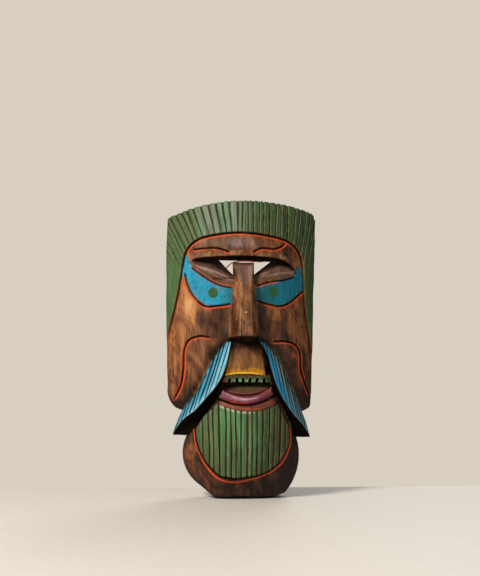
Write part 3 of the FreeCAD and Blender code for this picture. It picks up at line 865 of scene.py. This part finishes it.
    # painted shade at the back of the mouth, under the nose and above the teeth; patina and painted shade
    # in the sockets, the crevices and the cuts
    relief = front - blur(front, 3.2, block.step)
    crease = np.abs(share - 0.4 - 0.012 * (x + 30)) * 24
    lip_groove = groove(lip_gap - 1.8 - 0.02 * np.maximum(x, 0), 3.8, 1.7)
    darks += [
        1.1 * ease(219, 223, z + 0.001 * (x - 8) ** 2) * in_mouth,
        band(x, -26, 34, 2) * band(z, 304, 324, 2),
        band(x, -38, 56, 1) * band(z, 236, 264, 2),
        0.93 * in_socket * ease(0.6, 0.9, share + 0.06 * mottle),
        0.6975 * in_socket * ease(3, 0.5, crease) * band(x, -60, -14, 8),
        0.90 * in_socket * ease(16, 4, brow - z) * ease(-100, -92, x),
        ease(0.5, 2.2, -relief) * (0.9 - 0.7 * hair) * (1 - in_mouth),
        groove(beard_gap - 0.7, 2.4, 1.6) * ease(196, 176, z) * (0.25 + 0.75 * ease(170, 150, z)),
        lip_groove * (1 - 0.85 * in_mouth),
        groove(crack, 1.2, 1),
    ]
    darkness = np.clip(np.maximum.reduce(darks), 0, 1)
    wear = ease(0.25, 1.6, relief) * (0.4 + 0.6 * ease(-0.6, 0.6, mottle))

    # the back is raw wood, and the sides show more stain than paint
    depth = -points[:, 1]
    behind = block.sample(front, points) - depth
    in_hollow = (block.sample(rim, points) < 3) & (depth < block.sample(hollow_wall, points) + 4)
    on_back = (depth < 2.2) | in_hollow
    on_side = np.clip((behind - 5) / 8, 0, 1) * (block.sample(edge, points) > -2.5)
    hair_here = block.sample(hair, points)
    low_side = on_side * np.maximum(ease(30, 12, depth) * hair_here, ease(0.95, 0.6, hair_here))
    tint = block.sample(block.tint, points)
    tint[:, :3] = np.where(on_back[:, None], linear(RAW_WOOD), tint[:, :3])
    tint[:, 3] = np.where(on_back, 0.45, tint[:, 3] * (1 - 0.9 * low_side))
    # painted shade: the brow's underside is made fully dark
    from_brow = np.abs(points[:, 2] - block.sample(brow, points))
    across = (points[:, 0] > -95) & (points[:, 0] < 112)
    under_brow = across & (behind > 2) & (depth > 64) & (from_brow < 3)
    cut = np.where(on_back | (on_side > 0.5), 0.12, block.sample(darkness, points))
    attributes = {
        "tint": tint,
        "cut": np.where(under_brow, 1, cut),
        "stain_and_shade": np.where(on_back, 0.15, block.sample(stain_and_shade, points)),
        "wear": np.where(on_back, 0, block.sample(wear, points)),
    }
    return add_piece("face_shell_carved", points, quads, attributes, wood_material("stained_wood"))


# ---------------------------------------------------------------- materials


class Shader:
    """The nodes of a new material or world. Its calls return output sockets, and node() the node."""

    def __init__(self, name, store="materials"):
        self.owner = getattr(bpy.data, store).new(name)
        self.owner.use_nodes = True
        self.tree = self.owner.node_tree
        self.tree.nodes.clear()

    def node(self, kind, inputs=None, **settings):
        made = self.tree.nodes.new(kind)
        for key, value in settings.items():
            setattr(made, key, value)
        for key, value in (inputs or {}).items():
            if isinstance(value, bpy.types.NodeSocket):
                self.tree.links.new(value, made.inputs[key])
            else:
                made.inputs[key].default_value = value
        return made

    def place(self, scale, slant=0.0):
        """The object's own coordinates, turned by the slant about y and then scaled."""
        coordinates = self.node("ShaderNodeTexCoord").outputs["Object"]
        turned = self.node("ShaderNodeMapping", {"Vector": coordinates, "Rotation": (0.0, slant, 0.0)})
        mapping = self.node("ShaderNodeMapping", {"Vector": turned.outputs["Vector"], "Scale": scale})
        return mapping.outputs["Vector"]

    def noise(self, scale, stretch=(1.0, 1.0, 1.0), detail=4.0, roughness=0.55, distortion=0.0, slant=0.0):
        inputs = {
            "Vector": self.place(stretch, slant),
            "Scale": scale,
            "Detail": detail,
            "Roughness": roughness,
            "Distortion": distortion,
        }
        return self.node("ShaderNodeTexNoise", inputs).outputs["Fac"]

    def math(self, operation, a, b, clamp=False):
        made = self.node("ShaderNodeMath", {0: a, 1: b}, operation=operation, use_clamp=clamp)
        return made.outputs[0]

    def plus(self, a, b, clamp=False):
        return self.math("ADD", a, b, clamp)

    def minus(self, a, b):
        return self.math("SUBTRACT", a, b)

    def times(self, a, b, clamp=False):
        return self.math("MULTIPLY", a, b, clamp)

    def remap(self, value, low, high, to_low=0.0, to_high=1.0):
        inputs = {"Value": value, 1: low, 2: high, 3: to_low, 4: to_high}
        return self.node("ShaderNodeMapRange", inputs, clamp=True).outputs["Result"]

    def mix(self, share, a, b, blend="MIX"):
        made = self.node("ShaderNodeMix", {0: share, 6: a, 7: b}, data_type="RGBA", blend_type=blend)
        return made.outputs[2]

    def ramp(self, value, stops):
        made = self.node("ShaderNodeValToRGB", {"Fac": value})
        elements = made.color_ramp.elements
        while len(elements) < len(stops):
            elements.new(0.5)
        for element, (position, colour) in zip(elements, stops):
            element.position = position
            element.color = colour4(colour)
        return made.outputs["Color"]

    def attribute(self, name, output="Fac"):
        return self.node("ShaderNodeAttribute", attribute_name=name).outputs[output]

    def finish(self, colour, roughness, height, distance, metallic=0.0, sheen=0.0, specular=0.5):
        """The material, with a bump of that height map and distance."""
        bump = self.node("ShaderNodeBump", {"Height": height, "Distance": distance, "Strength": 0.6})
        inputs = {
            "Base Color": colour,
            "Roughness": roughness,
            "Metallic": metallic,
            "Specular IOR Level": specular,
            "Sheen Weight": sheen,
            "Normal": bump.outputs["Normal"],
        }
        surface = self.node("ShaderNodeBsdfPrincipled", inputs).outputs["BSDF"]
        self.node("ShaderNodeOutputMaterial", {"Surface": surface})
        return self.owner


WOOD_TONES = [
    (0.31, (34, 17, 9)),
    (0.42, (86, 50, 28)),
    (0.51, (134, 83, 47)),
    (0.59, (176, 116, 68)),
    (0.68, (210, 154, 100)),
]


def wood_material(name, gloss=0.46):
    """Stained wood with upright grain; paint where the tint covers it, cuts darkened by patina and painted
    shade, bare edges.
    """
    shader = Shader(name)
    plus, times, remap = shader.plus, shader.times, shader.remap
    streaks = shader.noise(80.0, (1.0, 1.0, 0.16), 6.0, 0.66, distortion=0.5, slant=-0.10)
    fibres = shader.noise(420.0, (1.0, 1.0, 0.05), 4.0, 0.6)
    blotches = shader.noise(34.0, (1.0, 1.0, 0.42), 6.0, 0.66, distortion=0.8, slant=0.55)
    specks = shader.noise(900.0, (1.0, 1.0, 0.35), 2.0, 0.5)

    # the wood: stained grain, darkened further by the stain-and-shade map, dark pores and worn edges
    grain = plus(plus(times(streaks, 0.32), times(blotches, 0.48)), times(fibres, 0.20))
    grain = shader.minus(grain, times(shader.attribute("stain_and_shade"), 0.135))
    pores = times(remap(specks, 0.34, 0.24), 0.55)
    wood = shader.mix(pores, shader.ramp(grain, WOOD_TONES), colour4((40, 26, 16)))
    wear = times(shader.attribute("wear"), remap(blotches, 0.35, 0.65, 0.25, 1.0))
    wood = shader.mix(times(wear, 0.5), wood, colour4((198, 146, 92)))

    # the paint: brushed, speckled and rubbed off in places
    strength = times(remap(streaks, 0.3, 0.7, 0.80, 1.16), remap(specks, 0.3, 0.7, 0.90, 1.08))
    grey = shader.node("ShaderNodeCombineColor", {0: strength, 1: strength, 2: strength})
    paint = shader.mix(1.0, shader.attribute("tint", "Color"), grey.outputs[0], "MULTIPLY")
    rubbed = plus(times(remap(fibres, 0.56, 0.72), 0.45), times(wear, 0.35), True)
    cover = times(shader.attribute("tint", "Alpha"), shader.minus(1.0, rubbed))
    colour = shader.mix(cover, wood, paint)

    # patina and painted shade in the cuts and hollows, then gloss and relief
    cut = shader.attribute("cut")
    dirt_and_shade = times(cut, remap(blotches, 0.25, 0.7, 1.05, 0.85), True)
    colour = shader.mix(times(dirt_and_shade, 0.96), colour, colour4((14, 9, 6)))
    roughness = plus(remap(streaks, 0.3, 0.7, gloss - 0.06, gloss + 0.12), times(cover, 0.08))
    roughness = plus(roughness, times(cut, 0.25), True)
    height = plus(plus(times(fibres, 0.6), times(streaks, 0.8)), times(specks, 0.25))
    return shader.finish(colour, roughness, height, 0.0009, specular=remap(cut, 0.2, 1.0, 0.22, 0.04))


# ---------------------------------------------------------------- pieces let in to the front


def finish_piece(block, front, field, name, material, dirt_and_shade=0.0, stain_and_shade=0.0, crevice=0.9, worn=1.0):
    """The mesh of a piece, with the charts of its paint, of patina and painted shade, of darker wood and
    painted shade, and of its wear.
    """
    points, quads = mesh_of(block, field)
    relief = front - blur(front, 2.4, block.step)
    # painted shade in the crevices, and below on the sides that stand out of the shell
    dark = np.clip(np.maximum(dirt_and_shade, ease(0.4, 1.8, -relief) * crevice), 0.0, 1.0)
    on_side = ease(1.5, 5.0, block.sample(front, points) + points[:, 1]) * crevice
    attributes = {
        "tint": block.sample(block.tint, points),
        "cut": np.maximum(block.sample(dark, points), 0.8 * on_side),
        "stain_and_shade": block.sample(stain_and_shade, points),
        "wear": block.sample(ease(0.2, 1.3, relief) * worn, points),
    }
    return add_piece(name, points, quads, attributes, material)


def carve_nose(material):
    """A straight bar: a flat ridge between two flat flanks, and a bevel on its free top end."""
    block = Block("nose", FINE)
    x, z, lay = block.x, block.z, block.lay
    heights = [318, 429, 473]  # the foot, the start of the bevel and the free end
    ridge = np.interp(z, heights, [146, 119, 96])
    base = np.interp(z, heights, [97, 100, 91])
    left_foot = np.interp(z, heights, [-25, -18, -18])
    right_foot = np.interp(z, heights, [31, 26, 26])
    left_edge = np.interp(z, heights, [-6, -4, -16])
    right_edge = np.interp(z, heights, [18, 18, 24])
    wobble = 0.8 * noise(x, z, 40, 26, 70)
    left_flank = base + (x - left_foot) * (ridge - base) / (left_edge - left_foot)
    right_flank = base + (right_foot - x) * (ridge - base) / (right_foot - right_edge)
    bevel = 118.6 - (z - 426) * 0.53 + 0.012 * (x - 10) ** 2
    top = smooth_min(ridge + wobble, np.where(z > 410, bevel + wobble, 400), 1.2)
    front = smooth_min(smooth_min(left_flank, right_flank, 1.2), top, 2.2)
    front = front - 0.55 * (1 - gouges(x, z, 8, 30, 71))
    chip = np.maximum(0, 1 - ((x - 5.5) / 4) ** 2 - ((z - 369) / 2.2) ** 2)
    front = front - 1.2 * chip
    front = front - 0.35 * np.maximum(0, noise(x, z, 1.4, 70, 72))
    front = front - 0.5 * np.maximum(0, noise(x, z, 3.2, 60, 73))
    edge = outline_distance(NOSE, x, z) + 0.3 + 0.5 * noise(x, z, 14, 20, 74)
    field = solid(block, front, NOSE_SEAT, edge, 2.2)

    mottle = noise(x, z, 5, 10, 75)
    grain = noise(x, z, 2.5, 50, 76)
    # painted highlight: golden streaks along the ridge
    on_ridge = band(x, -4, 16, 3) * ease(430, 415, z)
    lay((204, 150, 92), on_ridge * (0.40 + 0.2 * mottle) * (0.7 + 0.5 * grain))
    # painted shade on the bevel's facet, a darker purple-brown with lighter streaks, and a painted
    # highlight along its lower edge
    top_edges = band(x, left_edge + 0.5, right_edge - 0.5, 0.7)
    above = z - (426.5 + 0.05 * (x - 7) ** 2)
    shield = ease(-0.7, 0.7, above) * top_edges
    lay((128, 92, 78), shield * (0.85 + 0.1 * mottle))
    lay((164, 128, 108), shield * ease(0.2, 0.8, grain) * 0.5)
    lay((206, 164, 120), band(above, -2, -0.4, 0.4) * top_edges * (0.5 + 0.3 * mottle))
    lay((226, 196, 160), chip * 0.9)
    # painted shade: the free end under the brow, and the underside; the map below adds painted shade
    # toward the top and down the flanks, darker toward the foot, and darker wood at random
    dirt_and_shade = np.maximum(0.95 * ease(463, 473, z), ease(322.5, 320, z))
    stain_and_shade = 0.6 * ease(436, 466, z) + 0.25 * ease(14, 24, np.abs(x - 5))
    stain_and_shade = stain_and_shade + 0.15 * ease(345, 320, z) + 0.4 * ease(0.1, 0.8, noise(x, z, 10, 34, 77))
    return finish_piece(block, front, field, "nose_carved", material, dirt_and_shade, stain_and_shade)


def carve_wing(material, wing, end, lean, pitch, depth):
    """A feathered plane from the outer edge up to the ridge, and a hollow underside painted dark for its
    shade.
    """
    block = Block("moustache_" + end, FINE)
    side = -1 if end == "left" else 1
    x, z, lay = block.x, block.z, block.lay
    outer, ridge, under = wing.edges(z)
    heights = [124, 150, 172, 202, 240, 290, 312]
    edge_rise = np.interp(z, heights, [5, 9, 12, 16, 18, 18, 14])
    ridge_rise = np.interp(z, heights, [8, 22, 30, 33, 33, 28, 20])
    out = np.clip((x - outer) / (ridge - outer), -0.2, 1.3)
    bow = 4.4 * np.maximum(0, out * (1 - out))
    plane = wing_seat(x) + edge_rise + (ridge_rise - edge_rise) * out + bow
    inward = np.clip((x - ridge) / (under - ridge), -0.3, 1.2)
    flank = wing_seat(x) + ridge_rise * (1 - inward) - 10 * np.maximum(0, inward * (1 - inward))
    flank = np.where(z < 150, np.maximum(flank, wing_seat(x) + 4), flank)
    front = smooth_min(plane, flank, 1.4)
    feather = side * (x - lean * (z - 200)) + 1.1 * noise(x, z, 12, 30, 81)
    random = np.random.default_rng(82 + side)
    _, _, nearest, cut_depth = cut_row(feather, random, 60, (0.7, 1.3), (0.55, 1), -20, pitch)
    length = ease(1.02, 0.86, out) * ease(-0.05, 0.12, out)
    taper = 0.55 + 0.45 * ease(0.95, 0.35, out)
    cut = groove(nearest, (1.5 + 0.35 * depth) * taper, depth) * cut_depth * length
    fine = 0.12 * noise(feather, z, 1.4, 34, 83) * length
    front = front - cut - fine
    gap = outline_distance(wing.outline, x, z)
    edge = gap + 0.5 + 0.4 * noise(x, z, 9, 12, 84)
    field = solid(block, front, wing_seat(x), edge, 1.8)

    mottle = noise(x, z, 4, 9, 85)
    streak = noise(feather, z, 1.5, 26, 86)
    on_plane = ease(1.04, 0.97, out)
    if side < 0:
        lay((60, 158, 190), on_plane * 0.98)
        # painted highlight: lighter blue toward the ridge
        lay((138, 200, 218), on_plane * ease(0.30, 0.95, out + 0.35 * streak) * 0.85)
        lay((92, 140, 140), on_plane * ease(0.1, 0.8, mottle) * 0.4 * ease(210, 170, z))
        lay((24, 62, 62), on_plane * ease(0.18, 0, out + 0.08 * mottle) * 0.9)
        lay((228, 150, 120), ease(2.6, 1.6, np.hypot(x + 96, z - 173)))
    else:
        lay((118, 164, 170), on_plane * 0.98)
        lay((84, 186, 206), on_plane * ease(0, 0.6, streak) * ease(240, 190, z) * 0.6)
        lay((160, 146, 124), on_plane * ease(0.25, 0.8, -streak) * ease(0.85, 0.6, out) * 0.5)
        inner_edge = 0.60 + 0.28 * ease(215, 165, z)
        inner_strip = ease(inner_edge - 0.1, inner_edge + 0.12, out + 0.1 * streak)
        lay((0, 156, 214), on_plane * inner_strip * 0.97)
        lay((16, 60, 58), on_plane * ease(0.2, 0.02, out + 0.08 * mottle) * 0.9)
    # painted shade: the underside past the ridge is black
    lay((10, 8, 6), ease(1.01, 1.06, out))
    # patina and painted shade in the feather cuts; painted shade on the underside and the sides
    dirt_and_shade = np.maximum(np.minimum(2.4 * cut / depth, 1), ease(1.02, 1.08, out))
    dirt_and_shade = np.maximum(dirt_and_shade, 0.5 * ease(-2.5, 0, gap) * (1 - on_plane))
    return finish_piece(block, front, field, f"moustache_{end}_carved", material, dirt_and_shade, worn=0.1)


def carve_upper_lip(material):
    """A barrel-fronted block with a bow along its lower edge."""
    block = Block("upper_lip", FINE)
    x, z, lay = block.x, block.z, block.lay
    front = round_front(x, circle_depth(z, (240, 102), (285, 100), (316, 95)))
    front = front - 0.4 * (1 - gouges(x, z, 7, 26, 90))
    front = front - 0.35 * np.maximum(0, noise(x, z, 1.3, 60, 91))
    edge = outline_distance(UPPER_LIP, x, z) + 0.3 * noise(x, z, 10, 10, 92)
    field = solid(block, front, round_front(x, LIP_SEAT), edge, 2.6)
    mottle = noise(x, z, 3.6, 6, 93)
    streak = noise(x, z, 2.2, 26, 95)
    lower = ease(306, 262, z)
    lay((172, 122, 58), lower * (0.62 + 0.25 * mottle + 0.2 * streak))
    # painted highlight on the left
    lay((214, 162, 92), ease(14, -26, x) * band(z, 262, 300, 8) * (0.35 + 0.4 * streak))
    # painted shade on the right
    lay((118, 70, 34), ease(16, 44, x) * 0.65)
    wave = z - (256.5 + 3.6 * noise(x, z, 8, 80, 94) - 0.05 * np.maximum(x, 0))
    lay((206, 132, 18), ease(3, -1, wave) * (0.75 + 0.2 * streak))
    rim = z - (249.4 - 0.0018 * (x - 6) ** 2)
    lay((255, 206, 44), ease(1.4, 0.2, rim) * ease(46, 24, x))
    # painted shadow of the nose over the top, and painted shade toward the right
    dirt_and_shade = 0.95 * ease(290, 308, z)
    stain_and_shade = 0.5 * ease(280, 306, z) + 0.3 * ease(20, 44, x)
    return finish_piece(block, front, field, "upper_lip_carved", material, dirt_and_shade, stain_and_shade)


TOOTH_PITCH = 14
TOOTH_COUNT = 6
FIRST_TOOTH = -25


def carve_teeth(material):
    """A strip with a row of small arched notches, each with a painted rim."""
    block = Block("tooth_strip", FINE)
    x, z, lay = block.x, block.z, block.lay
    front = round_front(x, 88.5)
    number = np.clip(np.round((x - FIRST_TOOTH) / TOOTH_PITCH), 0, TOOTH_COUNT - 1)
    random = np.random.default_rng(95)
    shift = random.uniform(-1, 1, TOOTH_COUNT)[number.astype(int)]
    tilt = random.uniform(-0.35, 0.15, TOOTH_COUNT)[number.astype(int)]
    across = x - (FIRST_TOOTH + number * TOOTH_PITCH + shift) + tilt * (z - 236)
    across = across + 0.6 * noise(x, z, 5, 5, 99)
    arch = np.hypot(across, np.maximum(z - 233, 0) * 0.42) - 3
    rim = np.hypot(across, np.maximum(z - 233, 0) * 0.60) - 5.5
    front = front + 1.1 * ease(1.2, -1.2, rim)
    front = front - 6 * ease(0.8, -0.8, arch)
    front = front + 0.2 * noise(x, z, 3, 3, 96)
    ragged = 230.6 + 0.9 * noise(x, z, 4, 90, 97)
    edge = np.maximum(np.maximum(-39.5 - x, x - 58.5), np.maximum(ragged - z, z - 247))
    field = solid(block, front, round_front(x, TEETH_SEAT), edge, 1.4)
    mottle = noise(x, z, 3, 3, 98)
    lay((150, 98, 92), 0.95)
    lay((98, 202, 122), ease(0.8, -0.6, rim + 0.7 * mottle) * 0.97)
    # painted shade in the notches
    lay((12, 10, 8), ease(0.7, -0.7, arch))
    # painted shade at the right end
    lay((60, 90, 56), ease(34, 52, x) * 0.6)
    # painted shade in the notches and along the top edge under the upper lip
    dirt_and_shade = np.maximum(0.97 * ease(0.8, -0.8, arch), ease(245.4, 246.4, z))
    return finish_piece(block, front, field, "tooth_strip_carved", material, dirt_and_shade)


def carve_lower_lip(material):
    """A crescent with a round front and a soft crease under its upper edge."""
    block = Block("lower_lip", FINE)
    x, z, lay = block.x, block.z, block.lay
    front = round_front(x, circle_depth(z, (180, 101), (200, 107), (222, 104)))
    edge = outline_distance(LOWER_LIP, x, z) + 0.3 * noise(x, z, 8, 8, 100)
    front = front - 5 * ease(-7, 0, edge) ** 2
    front = front - 0.35 * (1 - gouges(x, z, 11, 5, 101))
    field = solid(block, front, round_front(x, LIP_SEAT), edge, 3)
    mottle = noise(x, z, 6, 2.6, 102)
    crest = z - (197 + 0.0070 * (x - 8) ** 2) + 0.4 * mottle
    centre = ease(-44, -26, x) * ease(44, 14, x)
    lay((132, 72, 96), 0.97)
    # painted highlight on the lower face, in the middle
    lay((184, 126, 154), ease(-9, -2, crest) * centre * (0.55 + 0.45 * mottle))
    # painted shade toward the right
    lay((96, 34, 44), ease(20, 48, x) * 0.75)
    lay((128, 78, 94), ease(-26, -42, x) * 0.6)
    # painted highlight: a light line along the crest
    lay((222, 176, 192), band(crest, -1.6, 0.4, 0.5) * centre * 0.8)
    lay((134, 60, 62), ease(0.2, 1.2, crest) * 0.9)
    low = ease(-2.6, -1.4, edge) * ease(-5, -7, crest)
    lay(ORANGE, low * band(x, -26, 14, 5))
    return finish_piece(block, front, field, "lower_lip_carved", material, crevice=0.2)


def carve_beard(material):
    """A round panel cut in upright strands, scalloped along its top."""
    block = Block("beard_panel", FINE)
    x, z, lay = block.x, block.z, block.lay
    front = round_front(x, circle_depth(z, (20, 77), (120, 104), (205, 99)))
    u = x * (1 + 0.0004 * (120 - z)) + 1.6 * noise(x, z, 16, 50, 110)
    random = np.random.default_rng(111)
    strand, share, nearest, depth = cut_row(u, random, 24, (8.8, 13.4), (1.8, 3.8), -122)
    half = 1.9 + 0.5 * noise(x, z, 8, 30, 115)
    open_ends = 0.2 + 0.8 * ease(93, 80, np.abs(x - 1))
    front = front - groove(nearest, half, depth) * open_ends - 0.6 * (2 * share - 1) ** 2
    front = front - 0.3 * noise(u, z, 1.7, 50, 112)
    front = front - 0.7 * np.maximum(0, noise(u, z, 3.4, 70, 116))
    scallops = 1.2 * np.exp(-((nearest / 2.2) ** 2)) * ease(78, 60, np.abs(x))
    edge = outline_distance(BEARD, x, z) + 0.3 + scallops
    front = front - 2.5 * ease(-6, 0.5, edge) ** 2
    field = solid(block, front, round_front(x, BEARD_SEAT), edge, 2.6)

    mottle = noise(x, z, 4, 8, 113)
    streak = noise(u, z, 1.6, 40, 114)
    tone = random.uniform(0, 1, 24)[strand]
    lay((72, 134, 76), 0.97)
    # painted shade, olive, on the left side
    lay((78, 96, 56), ease(-18, -80, x) * (0.75 + 0.25 * mottle))
    # painted highlight on the bulge: grey-green and light-green strands in the middle
    lay((128, 150, 112), ease(0.1, 0.8, streak) * 0.5 * ease(60, 10, np.abs(x + 10)))
    lay((96, 168, 102), ease(0.4, 0.9, tone) * ease(50, 10, np.abs(x + 8)) * 0.6)
    lay((138, 150, 122), ease(0.3, 0, tone) * ease(70, 20, np.abs(x + 10)) * 0.7)
    # painted shade on the right side, dark green, then dark brown toward the edge
    lay((32, 70, 28), ease(10, 48, x) * (0.85 + 0.2 * mottle))
    lay((62, 54, 36), ease(46, 84, x) * (0.6 + 0.25 * streak))
    lay((84, 84, 60), ease(0.25, 0.8, mottle) * 0.35 * ease(140, 60, z))
    lay((66, 62, 42), ease(112, 50, z) * (0.35 + 0.3 * streak))
    lay((74, 60, 42), ease(0.15, 0.65, noise(u, z, 3, 90, 117)) * 0.5)
    lay((150, 168, 132), band(nearest / half, 1, 1.6, 0.25) * ease(-0.2, 0.7, streak) * 0.35)
    lay((66, 46, 30), ease(1.25, 0.75, nearest / half) * (0.85 + 0.15 * mottle) * open_ends)
    # painted highlight on the strand tops along the top edge
    ends = band(edge, -4.5, 0.5, 1) * ease(160, 172, z) * band(x, -46, 22, 6)
    lay((206, 224, 198), ends * ease(0.9, 1.3, nearest / half) * (0.6 + 0.3 * mottle))
    # patina and painted shade in the grooves; painted shade along the edge and on the upper sides under
    # the wings
    dirt_and_shade = np.maximum(groove(nearest, 1.6, 0.55) * open_ends, 0.4 * ease(-2, 0.5, edge))
    dirt_and_shade = np.maximum(dirt_and_shade, 0.45 * ease(56, 90, np.abs(x)) * ease(150, 180, z))
    return finish_piece(block, front, field, "beard_carved", material, dirt_and_shade, crevice=0.5)


# ---------------------------------------------------------------- plain materials


def dowel_material():
    """Pale turned wood, with its grain along the dowel."""
    shader = Shader("dowel_wood")
    rings = shader.noise(260.0, (1.0, 0.25, 1.0), 5.0, 0.6, 1.2)
    colour = shader.ramp(rings, [(0.3, (112, 76, 44)), (0.55, (172, 128, 80)), (0.75, (206, 166, 112))])
    roughness = shader.remap(rings, 0.3, 0.7, 0.55, 0.75)
    return shader.finish(colour, roughness, rings, 0.0004)


def brass_material():
    """Old wire, dull brown where it has tarnished."""
    shader = Shader("dull_brass")
    tarnish = shader.noise(320.0, detail=5.0)
    colour = shader.ramp(tarnish, [(0.3, (96, 74, 40)), (0.55, (168, 136, 76)), (0.75, (204, 172, 104))])
    roughness = shader.remap(tarnish, 0.3, 0.7, 0.28, 0.55)
    return shader.finish(colour, roughness, tarnish, 0.0002, metallic=1.0)


def twine_material():
    """Thin twisted twine: slanting plies from a fine wave, and loose fibres."""
    shader = Shader("red_twine")
    inputs = {
        "Vector": shader.place((1.0, 1.0, 1.0)),
        "Scale": 190.0,
        "Distortion": 1.2,
        "Detail": 2.0,
    }
    plies = shader.node("ShaderNodeTexWave", inputs, bands_direction="DIAGONAL").outputs["Fac"]
    fuzz = shader.noise(1500.0, detail=3.0)
    colour = shader.ramp(plies, [(0.1, (190, 54, 18)), (0.5, (246, 88, 30)), (0.9, (255, 130, 66))])
    height = shader.plus(plies, shader.times(fuzz, 0.5))
    return shader.finish(colour, shader.remap(fuzz, 0.3, 0.7, 0.75, 0.95), height, 0.0004, sheen=0.4)


# ---------------------------------------------------------------- knots


def tie_knot(name, end, inner, eye, material):
    """Three turns of the cord round itself, and a loop from there through the screw eye's ring."""
    end, inner, eye = Vector(end), Vector(inner), Vector(eye)
    along = (end - inner).normalized()
    side = along.cross(Vector((0.0, 0.0, 1.0))).normalized()
    over = side.cross(along)
    turns, steps = 3, 8
    coil_radius, coil_start, coil_length = 0.0021, 0.0005, 0.0045
    past_ring, half_loop = 0.0042, 0.0024
    points = []
    for number in range(turns * steps + 1):
        angle = 2 * math.pi * number / steps
        place = end + along * (coil_start + coil_length * number / (turns * steps))
        points.append(place + coil_radius * (side * math.cos(angle) + over * math.sin(angle)))
    far = eye + (eye - end).normalized() * past_ring
    lift = (eye - end).cross(Vector((0.0, 1.0, 0.0))).normalized() * half_loop
    middle = (end + eye) / 2
    loop = [middle + lift, eye + lift * 0.9, far, eye - lift * 0.9, middle - lift, end + along * 0.001]
    tail = [end - along * 0.003 + over * 0.0026, end - along * 0.008 + over * 0.0045]
    curve = add_curve(name + "_line", points + loop + tail, CORD_RADIUS * 0.85)
    mesh = bpy.data.meshes.new_from_object(curve)
    mesh.name = name
    mesh.shade_smooth()
    bpy.data.objects.remove(curve)
    set_material(mesh, material)
    return add_object(name, mesh)


# ---------------------------------------------------------------- putting it together

painted = wood_material("painted_wood", gloss=0.50)
bare = wood_material("polished_wood", gloss=0.44)
twine = twine_material()

PIECES = [
    (carve_shell(), "face_shell", "carved_wood"),
    (carve_nose(bare), "nose", "carved_wood"),
    (
        carve_wing(painted, WING_LEFT, "left", lean=0.33, pitch=6.4, depth=2.6),
        "moustache_left",
        "blue_paint",
    ),
    (
        carve_wing(painted, WING_RIGHT, "right", lean=-0.20, pitch=5.4, depth=1.4),
        "moustache_right",
        "blue_paint",
    ),
    (carve_upper_lip(bare), "upper_lip", "carved_wood"),
    (carve_teeth(painted), "tooth_strip", "tooth_paint"),
    (carve_lower_lip(painted), "lower_lip", "purple_paint"),
    (carve_beard(painted), "beard_panel", "green_paint"),
]
for piece, node, slot in PIECES:
    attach(piece, "root")
    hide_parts(node)

dowels = dowel_material()
brass = brass_material()
for node, cad_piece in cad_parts.items():
    if node.endswith("_pegs") or "_pegs_" in node:
        set_material(cad_piece.data, dowels)
    if node.startswith("screw_eye"):
        set_material(cad_piece.data, brass)
        cad_piece.data.shade_smooth()

hanging_cord.data.materials.append(twine)
EYE_RING_LEFT = (-0.100, -0.015, 0.500)
EYE_RING_RIGHT = (0.100, -0.015, 0.500)
knots = [
    tie_knot("cord_knot_left_tied", CORD_ROUTE[0], CORD_ROUTE[1], EYE_RING_LEFT, twine),
    tie_knot("cord_knot_right_tied", CORD_ROUTE[-1], CORD_ROUTE[-2], EYE_RING_RIGHT, twine),
]
for piece, node in zip((hanging_cord, *knots), ("hanging_cord", "cord_knot_left", "cord_knot_right")):
    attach(piece, "root")
    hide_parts(node)

# ---------------------------------------------------------------- floor and light


def add_floor():
    """A pale slab under the foot, tilted by the mask's lean, ending a little behind it."""
    corners = [(x, y, z) for x in (-1.6, 1.6) for y in (-3.4, 0.12) for z in (-0.02, 0.0)]
    faces = [(0, 1, 3, 2), (4, 6, 7, 5), (0, 4, 5, 1), (2, 3, 7, 6), (0, 2, 6, 4), (1, 5, 7, 3)]
    mesh = bpy.data.meshes.new("floor")
    mesh.from_pydata(corners, [], faces)
    floor = add_object("floor", mesh)
    floor.rotation_euler.x = LEAN
    shader = Shader("pale_floor")
    grain = shader.noise(40.0)
    colour = shader.ramp(grain, [(0.2, (232, 223, 210)), (0.8, (238, 230, 219))])
    mesh.materials.append(shader.finish(colour, 0.6, grain, 0.0002))


def add_area(name, place, target, size, power, colour):
    """A round soft light at a place, turned to its target."""
    data = bpy.data.lights.new(name, "AREA")
    data.shape = "DISK"
    data.size = size
    data.energy = power
    data.color = colour
    light = add_object(name, data)
    light.location = place
    aim = Vector(target) - Vector(place)
    light.rotation_euler = aim.to_track_quat("-Z", "Y").to_euler()


def add_world():
    """A pale room for the camera, and a dimmer one for the light that it throws."""
    shader = Shader("room", "worlds")
    seen = shader.node("ShaderNodeBackground", {"Color": colour4((216, 207, 193))})
    thrown = shader.node("ShaderNodeBackground", {"Color": (0.80, 0.84, 0.90, 1.0), "Strength": 0.20})
    by_camera = shader.node("ShaderNodeLightPath").outputs["Is Camera Ray"]
    room = {0: by_camera, 1: thrown.outputs[0], 2: seen.outputs[0]}
    choice = shader.node("ShaderNodeMixShader", room)
    shader.node("ShaderNodeOutputWorld", {"Surface": choice.outputs[0]})
    bpy.context.scene.world = shader.owner


add_floor()
add_area("key", (-1.7, -1.9, 1.9), (0.0, 0.0, 0.3), 0.8, 84.0, (1.0, 0.96, 0.90))
add_area("fill", (1.6, -2.2, 0.9), (0.0, 0.0, 0.3), 1.6, 5.0, (0.95, 0.97, 1.0))
add_area("back", (0.9, 1.6, 1.4), (0.0, 0.0, 0.3), 1.2, 16.0, (1.0, 0.98, 0.95))
add_world()
bpy.context.scene.view_settings.view_transform = "Standard"
